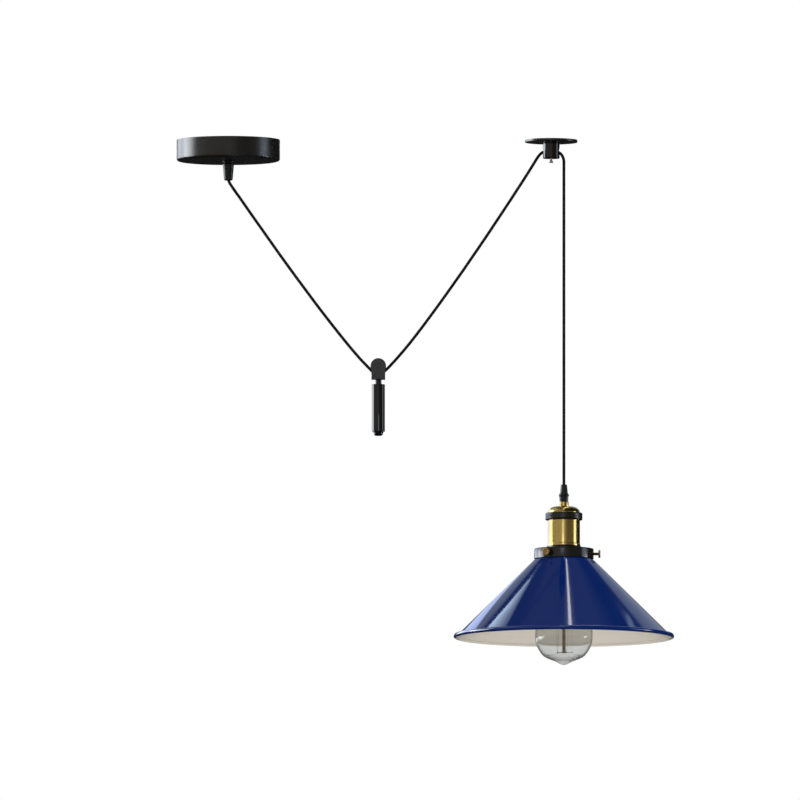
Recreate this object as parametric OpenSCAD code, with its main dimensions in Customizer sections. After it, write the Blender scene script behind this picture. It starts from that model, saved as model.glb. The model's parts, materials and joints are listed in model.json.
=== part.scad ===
// Rise and fall pendant: a lamp on a cord that runs from a ceiling rose, under the
// sheave of a counterweight, through a ceiling guide and down to the lampholder.
// Millimetres. The origin is the centre of the rose's ceiling face. +Z is up, the
// guide lies towards +X, and the whole cord hangs in the plane Y = 0.

/* [Layout] */
// Rose centre to guide centre along the ceiling
guide_x = 381; // [300:1:460]
// Guide centre to the line of the hanging lamp
cord_bow = 15; // [13:0.5:20]
// Rose centre to the line of the counterweight
weight_x = 177; // [120:1:240]
// Ceiling to the sheave's axis
sheave_drop = 268; // [200:1:320]
// Ceiling to the top of the lamp's cord grip
lamp_drop = 408; // [340:1:500]

/* [Cord] */
// Diameter of the fabric-covered cord
cord_d = 3.5; // [2.5:0.1:4]
// Diameter of one insulated core
core_d = 1.6; // [1:0.1:2]

/* [Fits] */
// Gap all round a screw, pin or rod in its hole
fit = 0.05; // [0.02:0.01:0.1]
// Gap all round the cord in its grips
cord_gap = 0.25; // [0.15:0.05:0.5]
// Gap between parts that are assembled loose
loose = 0.3; // [0.2:0.05:0.5]

/* [Rose] */
// Outside diameter of the rose
rose_d = 122; // [100:1:150]
// Height of the rose
rose_h = 25; // [22:0.5:40]
// Wall of the rose
rose_wall = 1; // [0.8:0.1:1.5]
// Radius of the rose's lower edge
rose_edge = 3; // [1.5:0.5:5]
// Width of the bracket's strap
strap_w = 24; // [20:1:30]
// Thickness of the bracket's strap
strap_t = 1.5; // [1:0.1:2]
// Depth of the bracket's two end tabs
tab_h = 14; // [12:0.5:18]
// Depth of the side screws below the ceiling
side_screw_z = 8; // [6:0.5:10]
// Diameter of the side screws
side_screw_d = 4; // [3:0.5:5]
// Slot to slot along the bracket
slot_pitch = 88; // [76:1:90]
// Slot length, end to end
slot_l = 14; // [10:1:16]
// Slot width
slot_w = 5.2; // [4:0.1:6]

/* [Cord grips] */
// Outside diameter of the threaded nipples
nipple_d = 8; // [7.5:0.1:8.4]
// Bore of the nipples
nipple_bore = 5.4; // [4.6:0.1:5.6]
// Height of the lock nuts
nut_h = 4; // [3:0.5:4.5]
// Lock nut, across its corners
nut_d = 14; // [12:0.5:16]
// Height of the rose's grip
rose_grip_h = 22.8; // [20:0.2:28]
// Diameter of the rose's grip at its top
rose_grip_top = 13.8; // [12.5:0.1:16]
// Diameter of the rose's grip at its tip
rose_grip_tip = 10.2; // [9:0.1:12]
// Height of the lamp's grip
lamp_grip_h = 20.5; // [18:0.5:26]
// Diameter of the lamp's grip at its bead
lamp_grip_bead = 12; // [11:0.2:14]
// Diameter of the lamp's grip at its top
lamp_grip_tip = 7; // [6.4:0.1:8]

/* [Terminal block] */
// Length of the block along the wires
block_l = 16; // [14:1:20]
// Width of the block
block_w = 16; // [14:1:20]
// Height of the block
block_h = 11.5; // [10:0.5:13]
// Block centre to rose centre
block_x = 24; // [22:1:30]
// Pole to pole
pole_pitch = 8; // [7.4:0.2:9]

/* [Guide] */
// Diameter of the guide's plate
plate_d = 62; // [50:1:80]
// Thickness of the guide's plate
plate_t = 3; // [2.6:0.2:5]
// Hole to hole across the plate
plate_pitch = 44; // [34:1:46]
// Diameter of the plate's fixing holes
plate_hole_d = 4.4; // [3.5:0.1:5]
// Diameter of the guide's body
guide_d = 20; // [18:0.5:26]
// Height of the guide's body
guide_h = 19; // [17:0.5:24]
// Depth of the cord's hole below the ceiling
guide_hole_z = 13.8; // [13:0.1:15]
// Outside diameter of the two bushes
bush_d = 7; // [6.2:0.1:7.4]
// How far the bushes lie inside the body's side
bush_inset = 1; // [0.5:0.5:3]
// Diameter of the clamp screw's thread
clamp_d = 3; // [2.5:0.1:4]
// Diameter of the clamp screw's cone head
clamp_head_d = 5; // [4:0.1:7]

/* [Counterweight] */
// How far the block's round head stands out past the sheave
head_over = 0.4; // [0:0.1:2]
// Width of the block's lower part
block_foot_w = 16.3; // [14:0.1:18]
// Thickness of the block, front to back
block_t = 16; // [13:0.5:20]
// Sheave axis to the block's underside
block_foot_h = 15.5; // [15:0.5:20]
// Diameter of the sheave at its rims
sheave_d = 17.6; // [16:0.1:18]
// Width of the sheave
sheave_w = 5.6; // [5:0.1:6]
// How far the cord's centre line lies outside the sheave's rims
cord_out = 0.6; // [0.4:0.1:0.8]
// Diameter of the sheave's axle
axle_d = 4; // [3:0.1:5]
// Diameter of the axle's two heads
axle_head_d = 5.7; // [5.4:0.1:8]
// Diameter of the threaded rod
rod_d = 5; // [4:0.1:6]
// Diameter of the stem's collar
collar_d = 7.6; // [7:0.1:10]
// Height of the stem's collar
collar_h = 5.8; // [3:0.1:12]
// Diameter of the weight
weight_d = 15.6; // [12:0.1:24]
// Length of the weight
weight_l = 56.3; // [40:0.5:90]
// Height of the end nut
end_nut_h = 5; // [4:0.5:8]

/* [Lampholder] */
// Diameter of the brass collar under the grip
brass_collar_d = 11.2; // [10.5:0.1:14]
// Height of the brass collar
brass_collar_h = 5.5; // [4:0.5:10]
// Diameter of the brass body
holder_d = 38; // [37:0.5:42]
// Thickness of the brass sheet
holder_wall = 1; // [0.6:0.1:1.2]
// Height of the domed cap above the lock ring
cap_h = 7.5; // [6:0.5:14]
// Diameter of the flat on top of the cap
cap_flat_d = 19; // [17:0.5:24]
// How far the black lock ring stands out past the brass body
ring_lip = 2.9; // [2:0.1:5]
// Height of the black lock ring
ring_h = 8.7; // [7.5:0.1:12]
// Height of the brass body below the lock ring
holder_h = 30.8; // [28:0.2:40]
// Height of the bead at the body's foot
foot_bead_h = 3; // [2:0.5:4]
// Gap between the brass body and the insert that holds the screw shell
insert_gap = 1; // [0.5:0.1:1.5]
// Depth of the insert below the body's foot
insert_out = 10; // [8:0.5:10.5]
// Bore of the screw shell
shell_bore = 27; // [27:0.1:27.6]

/* [Gallery and thumb screws] */
// Diameter of the gallery
gallery_d = 70.4; // [68:0.2:76]
// Height of the gallery's wall
gallery_h = 12; // [12:0.5:16]
// Sheet of the gallery
gallery_wall = 0.8; // [0.6:0.1:1]
// Height of the gallery's neck under the brass body
gallery_neck_h = 2.8; // [2:0.2:4]
// Number of thumb screws
screw_count = 3; // [3:1:3]
// Diameter of the thumb screws' thread
screw_d = 3.5; // [3:0.1:3.6]
// Length of thread that shows outside the gallery
screw_out = 5.5; // [4:0.5:8]
// Diameter of the thumb screws' heads
screw_head_d = 9.4; // [8:0.2:12]
// Thickness of the thumb screws' heads
screw_head_t = 2.4; // [2:0.1:4]

/* [Shade] */
// Diameter of the shade over its rolled rim
shade_d = 260.8; // [220:0.2:310]
// Height of the cone from the gallery to the rim's centre
cone_h = 91.4; // [75:0.2:110]
// Sheet of the shade
shade_t = 1; // [0.8:0.1:1.2]
// Diameter of the rolled rim
bead_d = 5.2; // [4:0.2:7]

/* [Bulb] */
// Diameter of the glass at its widest
bulb_d = 68.4; // [60:0.2:76]
// Diameter of the bulb's screw cap
bulb_cap_d = 26.4; // [26:0.1:26.5]
// Length of the bulb from contact to tip
bulb_l = 155; // [140:1:165]
// Thickness of the glass
glass_t = 0.9; // [0.7:0.1:1.2]
// Diameter of the bulb's support rod
support_rod_d = 3.4; // [2:0.1:4]
// Number of straight filament wires
filament_n = 10; // [6:2:12]

/* [Hidden] */
$fn = 64;
eps = 0.01;

black = "#1c1c1f";
dark = "#3a3a3c";
brass = "#b08d45";
steel = "#a9abad";
cream = "#e4e0d4";

lamp_x = guide_x + cord_bow;

// Cord grips
cord_bore = cord_d + 2 * cord_gap;
nipple_hole = nipple_d + 2 * fit;
nipple_over = 1.5;
rose_sheath_z = rose_h - rose_wall - nut_h - nipple_over - 2;
rose_nipple_in = 12;
lamp_nipple_in = 8;

// Bracket, terminal block and earth screw in the rose
tab_x = sqrt(pow(rose_d / 2 - rose_wall - loose, 2) - pow(strap_w / 2, 2));
fixing_d = 3;
fixing_head_d = 3.4;
earth_d = 4;
earth_x = 16;
washer_r = 4.2;
washer_t = 0.8;
earth_head_d = 7;
earth_head_h = 2.2;
tube_z = strap_t + block_h / 2 + 0.8;
tube_d = 4;
tube_bore = 2.6;
wire_screw_d = 2.4;
wire_screw_pitch = block_l / 2;
block_face_x = -block_x + block_l / 2 + 0.1;

// Guide
guide_foot_z = plate_t + guide_h;
plate_screw_d = 4;
plate_csk_h = 2;
plate_screw_sunk = 0.2;
fixing_depth_z = guide_hole_z - bush_d / 2 - 0.8;
bush_gap = 3;
bush_l = guide_d / 2 - bush_gap - bush_inset;
pad_h = 2.8;
pad_top_z = guide_hole_z + cord_d / 2 + 0.2;
clamp_shank_top_z = pad_top_z + pad_h + 0.2;
clamp_neck_h = 1.6;
clamp_neck_d = 2;
clamp_head_h = 3;

// Counterweight, measured down from the sheave's axis
head_d = sheave_d + 2 * head_over;
pitch_r = sheave_d / 2 + cord_out;
groove_gap = 0.35;
groove_r = pitch_r - cord_d / 2 - groove_gap;
groove_w_r = cord_d / 2 + groove_gap;
slot_half = sheave_w / 2 + loose;
bridge_z = pitch_r + cord_d / 2 + 0.85;
collar_z = block_foot_h;
weight_z = collar_z + collar_h;
weight_foot_z = weight_z + weight_l;

// Lampholder, measured down from the top of the lamp's grip
collar_top = lamp_grip_h;
cap_top = collar_top + brass_collar_h;
ring_top = cap_top + cap_h;
body_top = ring_top + ring_h;
body_foot = body_top + holder_h;
gallery_top = body_foot + gallery_neck_h;
gallery_foot = gallery_top + gallery_h;
cap_skirt = 3.5;
cap_t = 0.8;
insert_d = holder_d - 2 * holder_wall - 2 * insert_gap;
insert_foot = body_foot + insert_out;
shell_t = 0.7;
insert_wall = (insert_d - shell_bore) / 2 - shell_t - 0.1;
shell_l = 25;
insert_floor_t = 5;
shell_inset = 2;
cavity_top = insert_foot - shell_inset - shell_l - shell_inset;
insert_top = cavity_top - insert_floor_t - 3;
flange_h = 3;
core_start = cap_top + cap_t + nut_h + nipple_over + 3;
post_r = 10;
post_w = 5;
post_h = 6;
post_screw_d = 2.4;

// Gallery, shade and screws, measured down from the top of the lamp's grip
screw_z = gallery_top + gallery_h / 2 + 0.3;
neck_r = gallery_d / 2 - 4.2;
boss_r = 3.2;
boss_l = 2;
screw_tip_r = neck_r + 0.2;
lip_r = neck_r + 1;
lip_foot = screw_z - screw_d / 2 - 0.05;
rim_z = gallery_foot + cone_h;
bead_c = shade_d / 2 - bead_d / 2;
cone_top_r = gallery_d / 2 - 0.1;
cone_top_z = gallery_foot + 1.2;
cone_slope = (bead_c - 0.7 - cone_top_r) / (rim_z - cone_top_z);
neck_foot = cone_top_z - (cone_top_r - neck_r) / cone_slope;
sheet_across = shade_t * sqrt(1 + cone_slope * cone_slope);

// Bulb, measured down from the top of the lamp's grip
contact_gap = 0.3;
contact_post_h = 4.3;
contact_top = cavity_top + contact_post_h + contact_gap;
contact_h = 1.5;
insulator_h = 4;
bulb_cap_top = contact_top + contact_h + insulator_h;
bulb_cap_foot = insert_foot + 1.5;
bulb_cap_t = 0.4;
glass_top = bulb_cap_foot - 5;
tip_z = contact_top + bulb_l;
bulb_c = tip_z - bulb_d / 2 - 0.6;
glass_neck_r = bulb_cap_d / 2 - bulb_cap_t - 0.1;
stem_r = 4.5;
stem_l = 26;
rod_foot = tip_z - 14;
hook_top = glass_top + stem_l + 10;
hook_r = 9.5;
hook_bead = 0.35;
hook_half = 0.6;
arm_in = 0.8;
wire_r = 0.25;

// The cord's route, [x, z], chosen by hand from the photograph
rose_leg = [[0, -16.5], [0, -26], [0, -36], [0, -44], [0.6, -48.6], [2.9, -53], [9, -62],
            [14, -69], [19, -76.2], [24, -83.4], [29, -90.6], [39, -104.8], [49, -119],
            [59, -133.2], [69.2, -147.4], [79.5, -161.6], [90, -175.8], [100.5, -190],
            [111.2, -204.2], [122.2, -218.4], [133.4, -232.6], [145, -246.8], [157.2, -260.9],
            [164, -267.9], [170.4, -274.5], [173.2, -276.6], [175.6, -277.4], [177, -277.4]];
guide_leg = [[177, -277.4], [178.4, -277.4], [180.8, -276.6], [183.6, -274.5], [190.4, -267.9], [203, -253.9],
             [214.8, -239.7], [225.8, -225.5], [236.4, -211.3], [246.8, -197.1],
             [257, -182.9], [267, -168.7], [277, -154.5], [286.7, -140.3], [296.4, -126.1],
             [306, -111.9], [315.4, -97.7], [324.8, -83.5], [334.1, -69.3], [343.3, -55.1],
             [352.4, -40.9], [358.2, -31.6], [362.5, -24.6], [365.7, -19.6], [368.4, -16.5],
             [371.2, -14.5], [374.5, -13.8], [381, -13.8]];
guide_arch = [[381, -13.8], [386.4, -13.8], [389.6, -14.6], [392.4, -16.5], [394.5, -19.6],
              [395.7, -23.2], [396, -26.6], [396, -30]];
lamp_drop_route = [[396, -30], [396, -60], [396, -100], [396, -140], [396, -180],
                   [396, -220], [396, -260], [396, -300], [396, -340], [396, -380],
                   [396, -410], [396, -443]];

// The filament hangs from hooks that lie on a circle, low and high in turn
function hook_z(k) = k % 2 == 0 ? rod_foot : hook_top;
function hook(k, side) = let (a = 360 * k / filament_n)
    [hook_r * cos(a) - side * hook_half * sin(a), hook_r * sin(a) + side * hook_half * cos(a), -hook_z(k)];

function unit(v) = v / norm(v);
function flat(route) = [for (p = route) [p[0], 0, p[1]]];
function heading(path, i) = unit(path[min(i + 1, len(path) - 1)] - path[max(i - 1, 0)]);
function hoop(path, i, r, sides) =
    let (t = heading(path, i), u = unit(cross(t, [0, 1, 0])), v = cross(t, u))
    [for (k = [0 : sides - 1]) path[i] + r * (cos(360 * k / sides) * u + sin(360 * k / sides) * v)];

// A round tube of the given radius along a path
module tube(path, r, sides) {
    n = len(path);
    pts = [for (i = [0 : n - 1]) each hoop(path, i, r, sides)];
    side_faces = [for (i = [0 : n - 2], k = [0 : sides - 1])
        let (a = i * sides + k, b = i * sides + (k + 1) % sides)
        each [[a, b, b + sides], [a, b + sides, a + sides]]];
    near_end = [for (k = [sides - 1 : -1 : 0]) k];
    far_end = [for (k = [0 : sides - 1]) (n - 1) * sides + k];
    polyhedron(pts, concat([near_end], side_faces, [far_end]), convexity = 10);
}

// A pipe standing on -Z, given by its radii and its depths below the origin
module pipe(r_out, r_in, top, foot) {
    difference() {
        translate([0, 0, -foot]) cylinder(r = r_out, h = foot - top);
        translate([0, 0, -foot - 1]) cylinder(r = r_in, h = foot - top + 2);
    }
}

// A hexagonal nut with a round hole
module hex_nut(corners, hole, top, foot) {
    difference() {
        translate([0, 0, -foot]) cylinder(d = corners, h = foot - top, $fn = 6);
        translate([0, 0, -foot - 1]) cylinder(d = hole, h = foot - top + 2);
    }
}

module at_guide() {
    translate([guide_x, 0, 0]) children();
}

module at_sheave() {
    translate([weight_x, 0, -sheave_drop]) children();
}

module at_lamp() {
    translate([lamp_x, 0, -lamp_drop]) children();
}

// ---- Rose ----

module rose_cup() {
    r = rose_d / 2;
    inner = r - rose_wall;
    edge_in = rose_edge - rose_wall;
    floor_z = -(rose_h - rose_wall);
    color(black) difference() {
        rotate_extrude($fn = 128) polygon(concat(
            [[r, 0]],
            [for (a = [0 : 15 : 90]) [r - rose_edge + rose_edge * cos(a),
                -rose_h + rose_edge - rose_edge * sin(a)]],
            [[0, -rose_h], [0, floor_z]],
            [for (a = [90 : -15 : 0]) [inner - edge_in + edge_in * cos(a),
                floor_z + edge_in - edge_in * sin(a)]],
            [[inner, 0]]));
        translate([0, 0, -rose_h - 1]) cylinder(d = nipple_hole, h = rose_wall + 2);
        translate([-r - 1, 0, -side_screw_z]) rotate([0, 90, 0])
            cylinder(d = side_screw_d + 2 * fit, h = 2 * r + 2);
    }
}

module rose_bracket() {
    color(steel) difference() {
        union() {
            translate([-tab_x, -strap_w / 2, -strap_t]) cube([2 * tab_x, strap_w, strap_t]);
            for (side = [-1, 1])
                translate([side * (tab_x - strap_t / 2) - strap_t / 2, -strap_w / 2, -tab_h])
                    cube([strap_t, strap_w, tab_h]);
        }
        translate([-tab_x - 1, 0, -side_screw_z]) rotate([0, 90, 0])
            cylinder(d = side_screw_d + 2 * fit, h = 2 * tab_x + 2);
        for (side = [-1, 1]) translate([side * slot_pitch / 2, 0, -strap_t - 1]) {
            for (end = [-1, 1]) translate([end * (slot_l - slot_w) / 2, 0, 0])
                cylinder(d = slot_w, h = strap_t + 2);
            translate([-(slot_l - slot_w) / 2, -slot_w / 2, 0]) cube([slot_l - slot_w, slot_w, strap_t + 2]);
        }
        translate([-block_x, 0, -strap_t - 1]) cylinder(d = fixing_d + 2 * fit, h = strap_t + 2);
        translate([earth_x, 0, -strap_t - 1]) cylinder(d = earth_d + 2 * fit, h = strap_t + 2);
    }
}

module rose_side_screws() {
    screw_l = 4;
    color(black) for (side = [-1, 1]) difference() {
        translate([side * (rose_d / 2 - 0.1 - screw_l / 2) - screw_l / 2, 0, -side_screw_z])
            rotate([0, 90, 0]) cylinder(d = side_screw_d, h = screw_l);
        translate([side * (rose_d / 2 - 0.1) - 1.5, 0, -side_screw_z])
            rotate([0, 90, 0]) cylinder(d = side_screw_d / 2, h = 3, $fn = 6);
    }
}

module rose_nipple() {
    color(steel) pipe(nipple_d / 2, nipple_bore / 2, rose_h - rose_wall - nut_h - nipple_over,
        rose_h + rose_nipple_in);
}

module rose_lock_nut() {
    color(steel) hex_nut(nut_d, nipple_hole, rose_h - rose_wall - nut_h, rose_h - rose_wall);
}

module rose_cord_grip() {
    top_r = rose_grip_top / 2;
    tip_r = rose_grip_tip / 2;
    socket = rose_nipple_in + 0.2;
    color(black) translate([0, 0, -rose_h]) rotate_extrude() polygon([
        [nipple_hole / 2, 0], [top_r, 0], [top_r, -1.2], [top_r - 0.9, -1.6], [top_r - 0.9, -2.6],
        [top_r - 0.1, -3.4], [tip_r + 0.1, -rose_grip_h + 1], [tip_r - 0.7, -rose_grip_h],
        [cord_bore / 2 + 1, -rose_grip_h], [cord_bore / 2, -rose_grip_h + 4], [cord_bore / 2, -socket],
        [nipple_hole / 2, -socket]]);
}

// ---- Terminal block and earth ----

module at_poles() {
    for (side = [-1, 1]) translate([-block_x, side * pole_pitch / 2, 0]) children();
}

module terminal_block() {
    color(cream) difference() {
        translate([-block_x - block_l / 2, -block_w / 2, -strap_t - block_h])
            cube([block_l, block_w, block_h]);
        at_poles() {
            translate([-block_l / 2 - 1, 0, -tube_z]) rotate([0, 90, 0])
                cylinder(d = tube_d + 2 * fit, h = block_l + 2);
            for (end = [-1, 1]) translate([end * wire_screw_pitch / 2, 0, -strap_t - block_h - 1])
                cylinder(d = wire_screw_d + 2 * loose, h = strap_t + block_h + 1 - tube_z);
        }
        translate([-block_x, 0, -strap_t - block_h - 1]) cylinder(d = fixing_d + 2 * fit, h = block_h + 2);
        translate([-block_x, 0, -strap_t - block_h - 1]) cylinder(d = fixing_head_d + 2 * fit, h = 3.5);
    }
}

module terminal_tubes() {
    color(brass) at_poles() difference() {
        translate([-block_l / 2 + 0.5, 0, -tube_z]) rotate([0, 90, 0]) cylinder(d = tube_d, h = block_l - 1);
        translate([-block_l / 2, 0, -tube_z]) rotate([0, 90, 0]) cylinder(d = tube_bore, h = block_l);
        for (end = [-1, 1]) translate([end * wire_screw_pitch / 2, 0, -tube_z - tube_d])
            cylinder(d = wire_screw_d + 2 * fit, h = tube_d);
    }
}

module terminal_screws() {
    color(steel) at_poles() for (end = [-1, 1])
        translate([end * wire_screw_pitch / 2, 0, -strap_t - block_h + 0.5])
            cylinder(d = wire_screw_d, h = strap_t + block_h - 0.5 - tube_z - tube_bore / 4);
}

module terminal_fixing_screw() {
    color(steel) translate([-block_x, 0, -strap_t - block_h]) {
        translate([0, 0, 0.5]) cylinder(d = fixing_head_d, h = 2);
        translate([0, 0, 2.5 - eps]) cylinder(d = fixing_d, h = strap_t + block_h - 2.7);
    }
}

module earth_washer() {
    color(brass) translate([earth_x, 0, 0]) pipe(washer_r, earth_d / 2 + fit, strap_t, strap_t + washer_t);
}

module earth_screw() {
    color(steel) translate([earth_x, 0, 0]) {
        translate([0, 0, -strap_t - washer_t]) cylinder(d = earth_d, h = strap_t + washer_t - 0.2);
        translate([0, 0, -strap_t - washer_t - earth_head_h]) cylinder(d = earth_head_d, h = earth_head_h);
    }
}

// One core from the end of the cord's sheath to its pole of the block
module pole_core(side) {
    start = core_d * 0.6;
    tube([[-0.4, side * start, -rose_sheath_z + 0.1], [-0.8, side * start, -rose_sheath_z + 2.5],
          [-3.5, side * pole_pitch * 0.35, -tube_z - 1.5], [block_face_x + 3, side * pole_pitch / 2, -tube_z],
          [block_face_x, side * pole_pitch / 2, -tube_z]], core_d / 2, 6);
}

module rose_live_core() {
    color("saddlebrown") pole_core(1);
}

module rose_neutral_core() {
    color("royalblue") pole_core(-1);
}

module rose_earth_core() {
    end_x = earth_x - washer_r - 0.1;
    end_z = -strap_t - core_d / 2 - 0.1;
    color("yellowgreen") tube([[1.1, 0, -rose_sheath_z + 0.1], [1.5, 0, -rose_sheath_z + 3],
        [4, 0, end_z - 4.5], [8, 0, end_z - 0.8], [end_x, 0, end_z]], core_d / 2, 6);
}

// ---- Guide ----

module guide_plate() {
    csk_d = plate_screw_d + 2 * fit + 2 * plate_csk_h;
    color(black) difference() {
        at_guide() rotate_extrude($fn = 128) polygon([[0, 0], [plate_d / 2, 0], [plate_d / 2, -plate_t + 0.6],
            [plate_d / 2 - 0.6, -plate_t], [0, -plate_t]]);
        at_guide() {
            translate([0, 0, -plate_t - 1]) cylinder(d = plate_screw_d + 2 * fit, h = plate_t + 2);
            translate([0, 0, -plate_csk_h]) cylinder(d1 = plate_screw_d + 2 * fit, d2 = csk_d,
                h = plate_csk_h);
            translate([0, 0, -eps]) cylinder(d = csk_d, h = 1);
            for (side = [-1, 1]) translate([0, side * plate_pitch / 2, 0]) {
                translate([0, 0, -plate_t - 1]) cylinder(d = plate_hole_d, h = plate_t + 2);
                translate([0, 0, -plate_t - eps]) cylinder(d1 = 2 * plate_hole_d, d2 = plate_hole_d,
                    h = plate_t - 1.4);
            }
        }
    }
}

module guide_body() {
    r = guide_d / 2;
    edge = 1;
    mouth = 1.5;
    color(black) difference() {
        at_guide() rotate_extrude() polygon([[0, -plate_t], [r, -plate_t], [r, -guide_foot_z + edge],
            [r - edge, -guide_foot_z], [0, -guide_foot_z]]);
        at_guide() {
            translate([-r - 1, 0, -guide_hole_z]) rotate([0, 90, 0])
                cylinder(d = bush_d + 2 * fit, h = guide_d + 2);
            for (side = [-1, 1]) translate([side * (r - mouth), 0, -guide_hole_z]) rotate([0, side * 90, 0])
                cylinder(d1 = bush_d + 2 * fit, d2 = bush_d + 3.4, h = mouth + 1);
            translate([0, 0, -guide_foot_z - 1]) cylinder(d = clamp_d + 2 * fit,
                h = guide_foot_z + 1 - guide_hole_z);
            translate([0, 0, -fixing_depth_z]) cylinder(d = plate_screw_d + 2 * fit, h = fixing_depth_z);
        }
    }
}

module guide_fixing_screw() {
    head_h = plate_csk_h - plate_screw_sunk;
    color(steel) at_guide() {
        translate([0, 0, -plate_csk_h]) cylinder(d1 = plate_screw_d, d2 = plate_screw_d + 2 * head_h,
            h = head_h);
        translate([0, 0, -fixing_depth_z + 0.5])
            cylinder(d = plate_screw_d, h = fixing_depth_z - plate_csk_h - 0.5 + eps);
    }
}

module cord_bush(side) {
    flare = 3;
    mouth_wall = 0.2;
    bore = cord_d + 0.9;
    color(dark) at_guide() translate([side * bush_gap, 0, -guide_hole_z]) rotate([0, side * 90, 0])
        difference() {
        cylinder(d = bush_d, h = bush_l);
        translate([0, 0, -1]) cylinder(d = bore, h = bush_l + 2);
        translate([0, 0, bush_l - flare]) cylinder(d1 = bore, d2 = bush_d - 2 * mouth_wall, h = flare + eps);
    }
}

module left_cord_bush() {
    cord_bush(-1);
}

module right_cord_bush() {
    cord_bush(1);
}

module clamp_pad() {
    color(cream) at_guide() translate([0, 0, -pad_top_z - pad_h]) cylinder(d = clamp_d - 2 * fit, h = pad_h);
}

module clamp_screw() {
    neck_z = guide_foot_z + 0.6;
    head_z = neck_z + clamp_neck_h;
    foot_z = head_z + clamp_head_h;
    color(black) at_guide() rotate_extrude() polygon([[0, -clamp_shank_top_z], [clamp_d / 2,
        -clamp_shank_top_z],
        [clamp_d / 2, -neck_z], [clamp_neck_d / 2, -neck_z], [clamp_neck_d / 2, -head_z],
        [clamp_head_d / 2, -foot_z + 0.5], [clamp_head_d / 2 - 0.4, -foot_z], [0, -foot_z]]);
}

// ---- Cord ----

module cord_rose_leg() {
    color(black) tube(flat(rose_leg), cord_d / 2, 8);
}

module cord_guide_leg() {
    color(black) tube(flat(guide_leg), cord_d / 2, 8);
}

module cord_guide_arch() {
    color(black) tube(flat(guide_arch), cord_d / 2, 8);
}

module cord_lamp_drop() {
    color(black) tube(flat(lamp_drop_route), cord_d / 2, 8);
}

// ---- Counterweight ----

module pulley_block() {
    edge = 0.6;
    color(dark) at_sheave() difference() {
        union() {
            rotate([90, 0, 0]) translate([0, 0, -block_t / 2]) cylinder(d = head_d, h = block_t, $fn = 96);
            translate([-block_foot_w / 2, -block_t / 2, -block_foot_h + edge])
                cube([block_foot_w, block_t, block_foot_h - edge]);
            translate([-block_foot_w / 2 + edge, -block_t / 2 + edge, -block_foot_h])
                cube([block_foot_w - 2 * edge, block_t - 2 * edge, 2 * edge]);
        }
        translate([-head_d, -slot_half, -bridge_z]) cube([2 * head_d, 2 * slot_half, bridge_z + head_d]);
        rotate([90, 0, 0]) translate([0, 0, -block_t]) cylinder(d = axle_d + 2 * fit, h = 2 * block_t);
        translate([0, 0, -block_foot_h - 1]) cylinder(d = rod_d + 2 * fit, h = block_foot_h - bridge_z + 2);
    }
}

module sheave() {
    color(steel) at_sheave() rotate([90, 0, 0]) difference() {
        translate([0, 0, -sheave_w / 2]) cylinder(d = sheave_d, h = sheave_w, $fn = 96);
        rotate_extrude($fn = 96) translate([groove_r + groove_w_r, 0]) circle(r = groove_w_r, $fn = 48);
        translate([0, 0, -sheave_w]) cylinder(d = axle_d + 2 * fit, h = 2 * sheave_w);
    }
}

module sheave_axle() {
    head_t = 0.7;
    color(black) at_sheave() rotate([90, 0, 0]) {
        translate([0, 0, -block_t / 2 - eps]) cylinder(d = axle_d, h = block_t + 2 * eps);
        for (side = [-1, 1]) translate([0, 0, side * (block_t + head_t) / 2 - head_t / 2])
            cylinder(d = axle_head_d, h = head_t);
    }
}

module weight_stem() {
    color(dark) at_sheave() {
        translate([0, 0, -collar_z - eps]) cylinder(d = rod_d, h = block_foot_h - bridge_z - 0.3);
        translate([0, 0, -weight_z]) cylinder(d = collar_d, h = collar_h);
        translate([0, 0, -weight_foot_z - end_nut_h / 2]) cylinder(d = rod_d,
            h = weight_l + end_nut_h / 2 + eps);
    }
}

module counterweight() {
    edge = 0.8;
    r = weight_d / 2;
    hole = rod_d / 2 + fit;
    color(black) at_sheave() rotate_extrude($fn = 96) polygon([[hole, -weight_z], [r - edge, -weight_z],
        [r, -weight_z - edge], [r, -weight_foot_z + edge], [r - edge, -weight_foot_z],
            [hole, -weight_foot_z]]);
}

module weight_end_nut() {
    top_r = weight_d / 2 - 1.6;
    hole = rod_d / 2 + fit;
    hole_z = weight_foot_z + end_nut_h / 2 + 0.2;
    foot_z = weight_foot_z + end_nut_h;
    color(black) at_sheave() rotate_extrude() polygon([[hole, -weight_foot_z], [top_r, -weight_foot_z],
        [top_r - 0.9, -foot_z + 1.4], [top_r - 2, -foot_z + 0.4], [top_r - 3.4, -foot_z], [0, -foot_z],
        [0, -hole_z], [hole, -hole_z]]);
}

// ---- Lampholder ----

module lamp_cord_grip() {
    tip_r = lamp_grip_tip / 2;
    bead_r = lamp_grip_bead / 2;
    socket = lamp_grip_h - lamp_nipple_in - 0.2;
    bead_z = 0.58 * lamp_grip_h;
    color(black) at_lamp() rotate_extrude() polygon([
        [cord_bore / 2, 0], [tip_r, 0], [tip_r + 0.3, -0.6], [tip_r + 1.2, -bead_z + 1], [bead_r, -bead_z],
        [bead_r, -bead_z - 1.4], [bead_r - 0.9, -lamp_grip_h], [nipple_hole / 2, -lamp_grip_h],
        [nipple_hole / 2, -socket], [cord_bore / 2, -socket]]);
}

module grip_collar() {
    r = brass_collar_d / 2;
    edge = 0.4;
    color(brass) at_lamp() rotate_extrude() polygon([[nipple_hole / 2, -collar_top], [r - edge, -collar_top],
        [r, -collar_top - edge], [r, -cap_top + edge], [r - edge, -cap_top], [nipple_hole / 2, -cap_top]]);
}

module lamp_nipple() {
    color(steel) at_lamp() pipe(nipple_d / 2, nipple_bore / 2, lamp_grip_h - lamp_nipple_in,
        cap_top + cap_t + nut_h + nipple_over);
}

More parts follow.
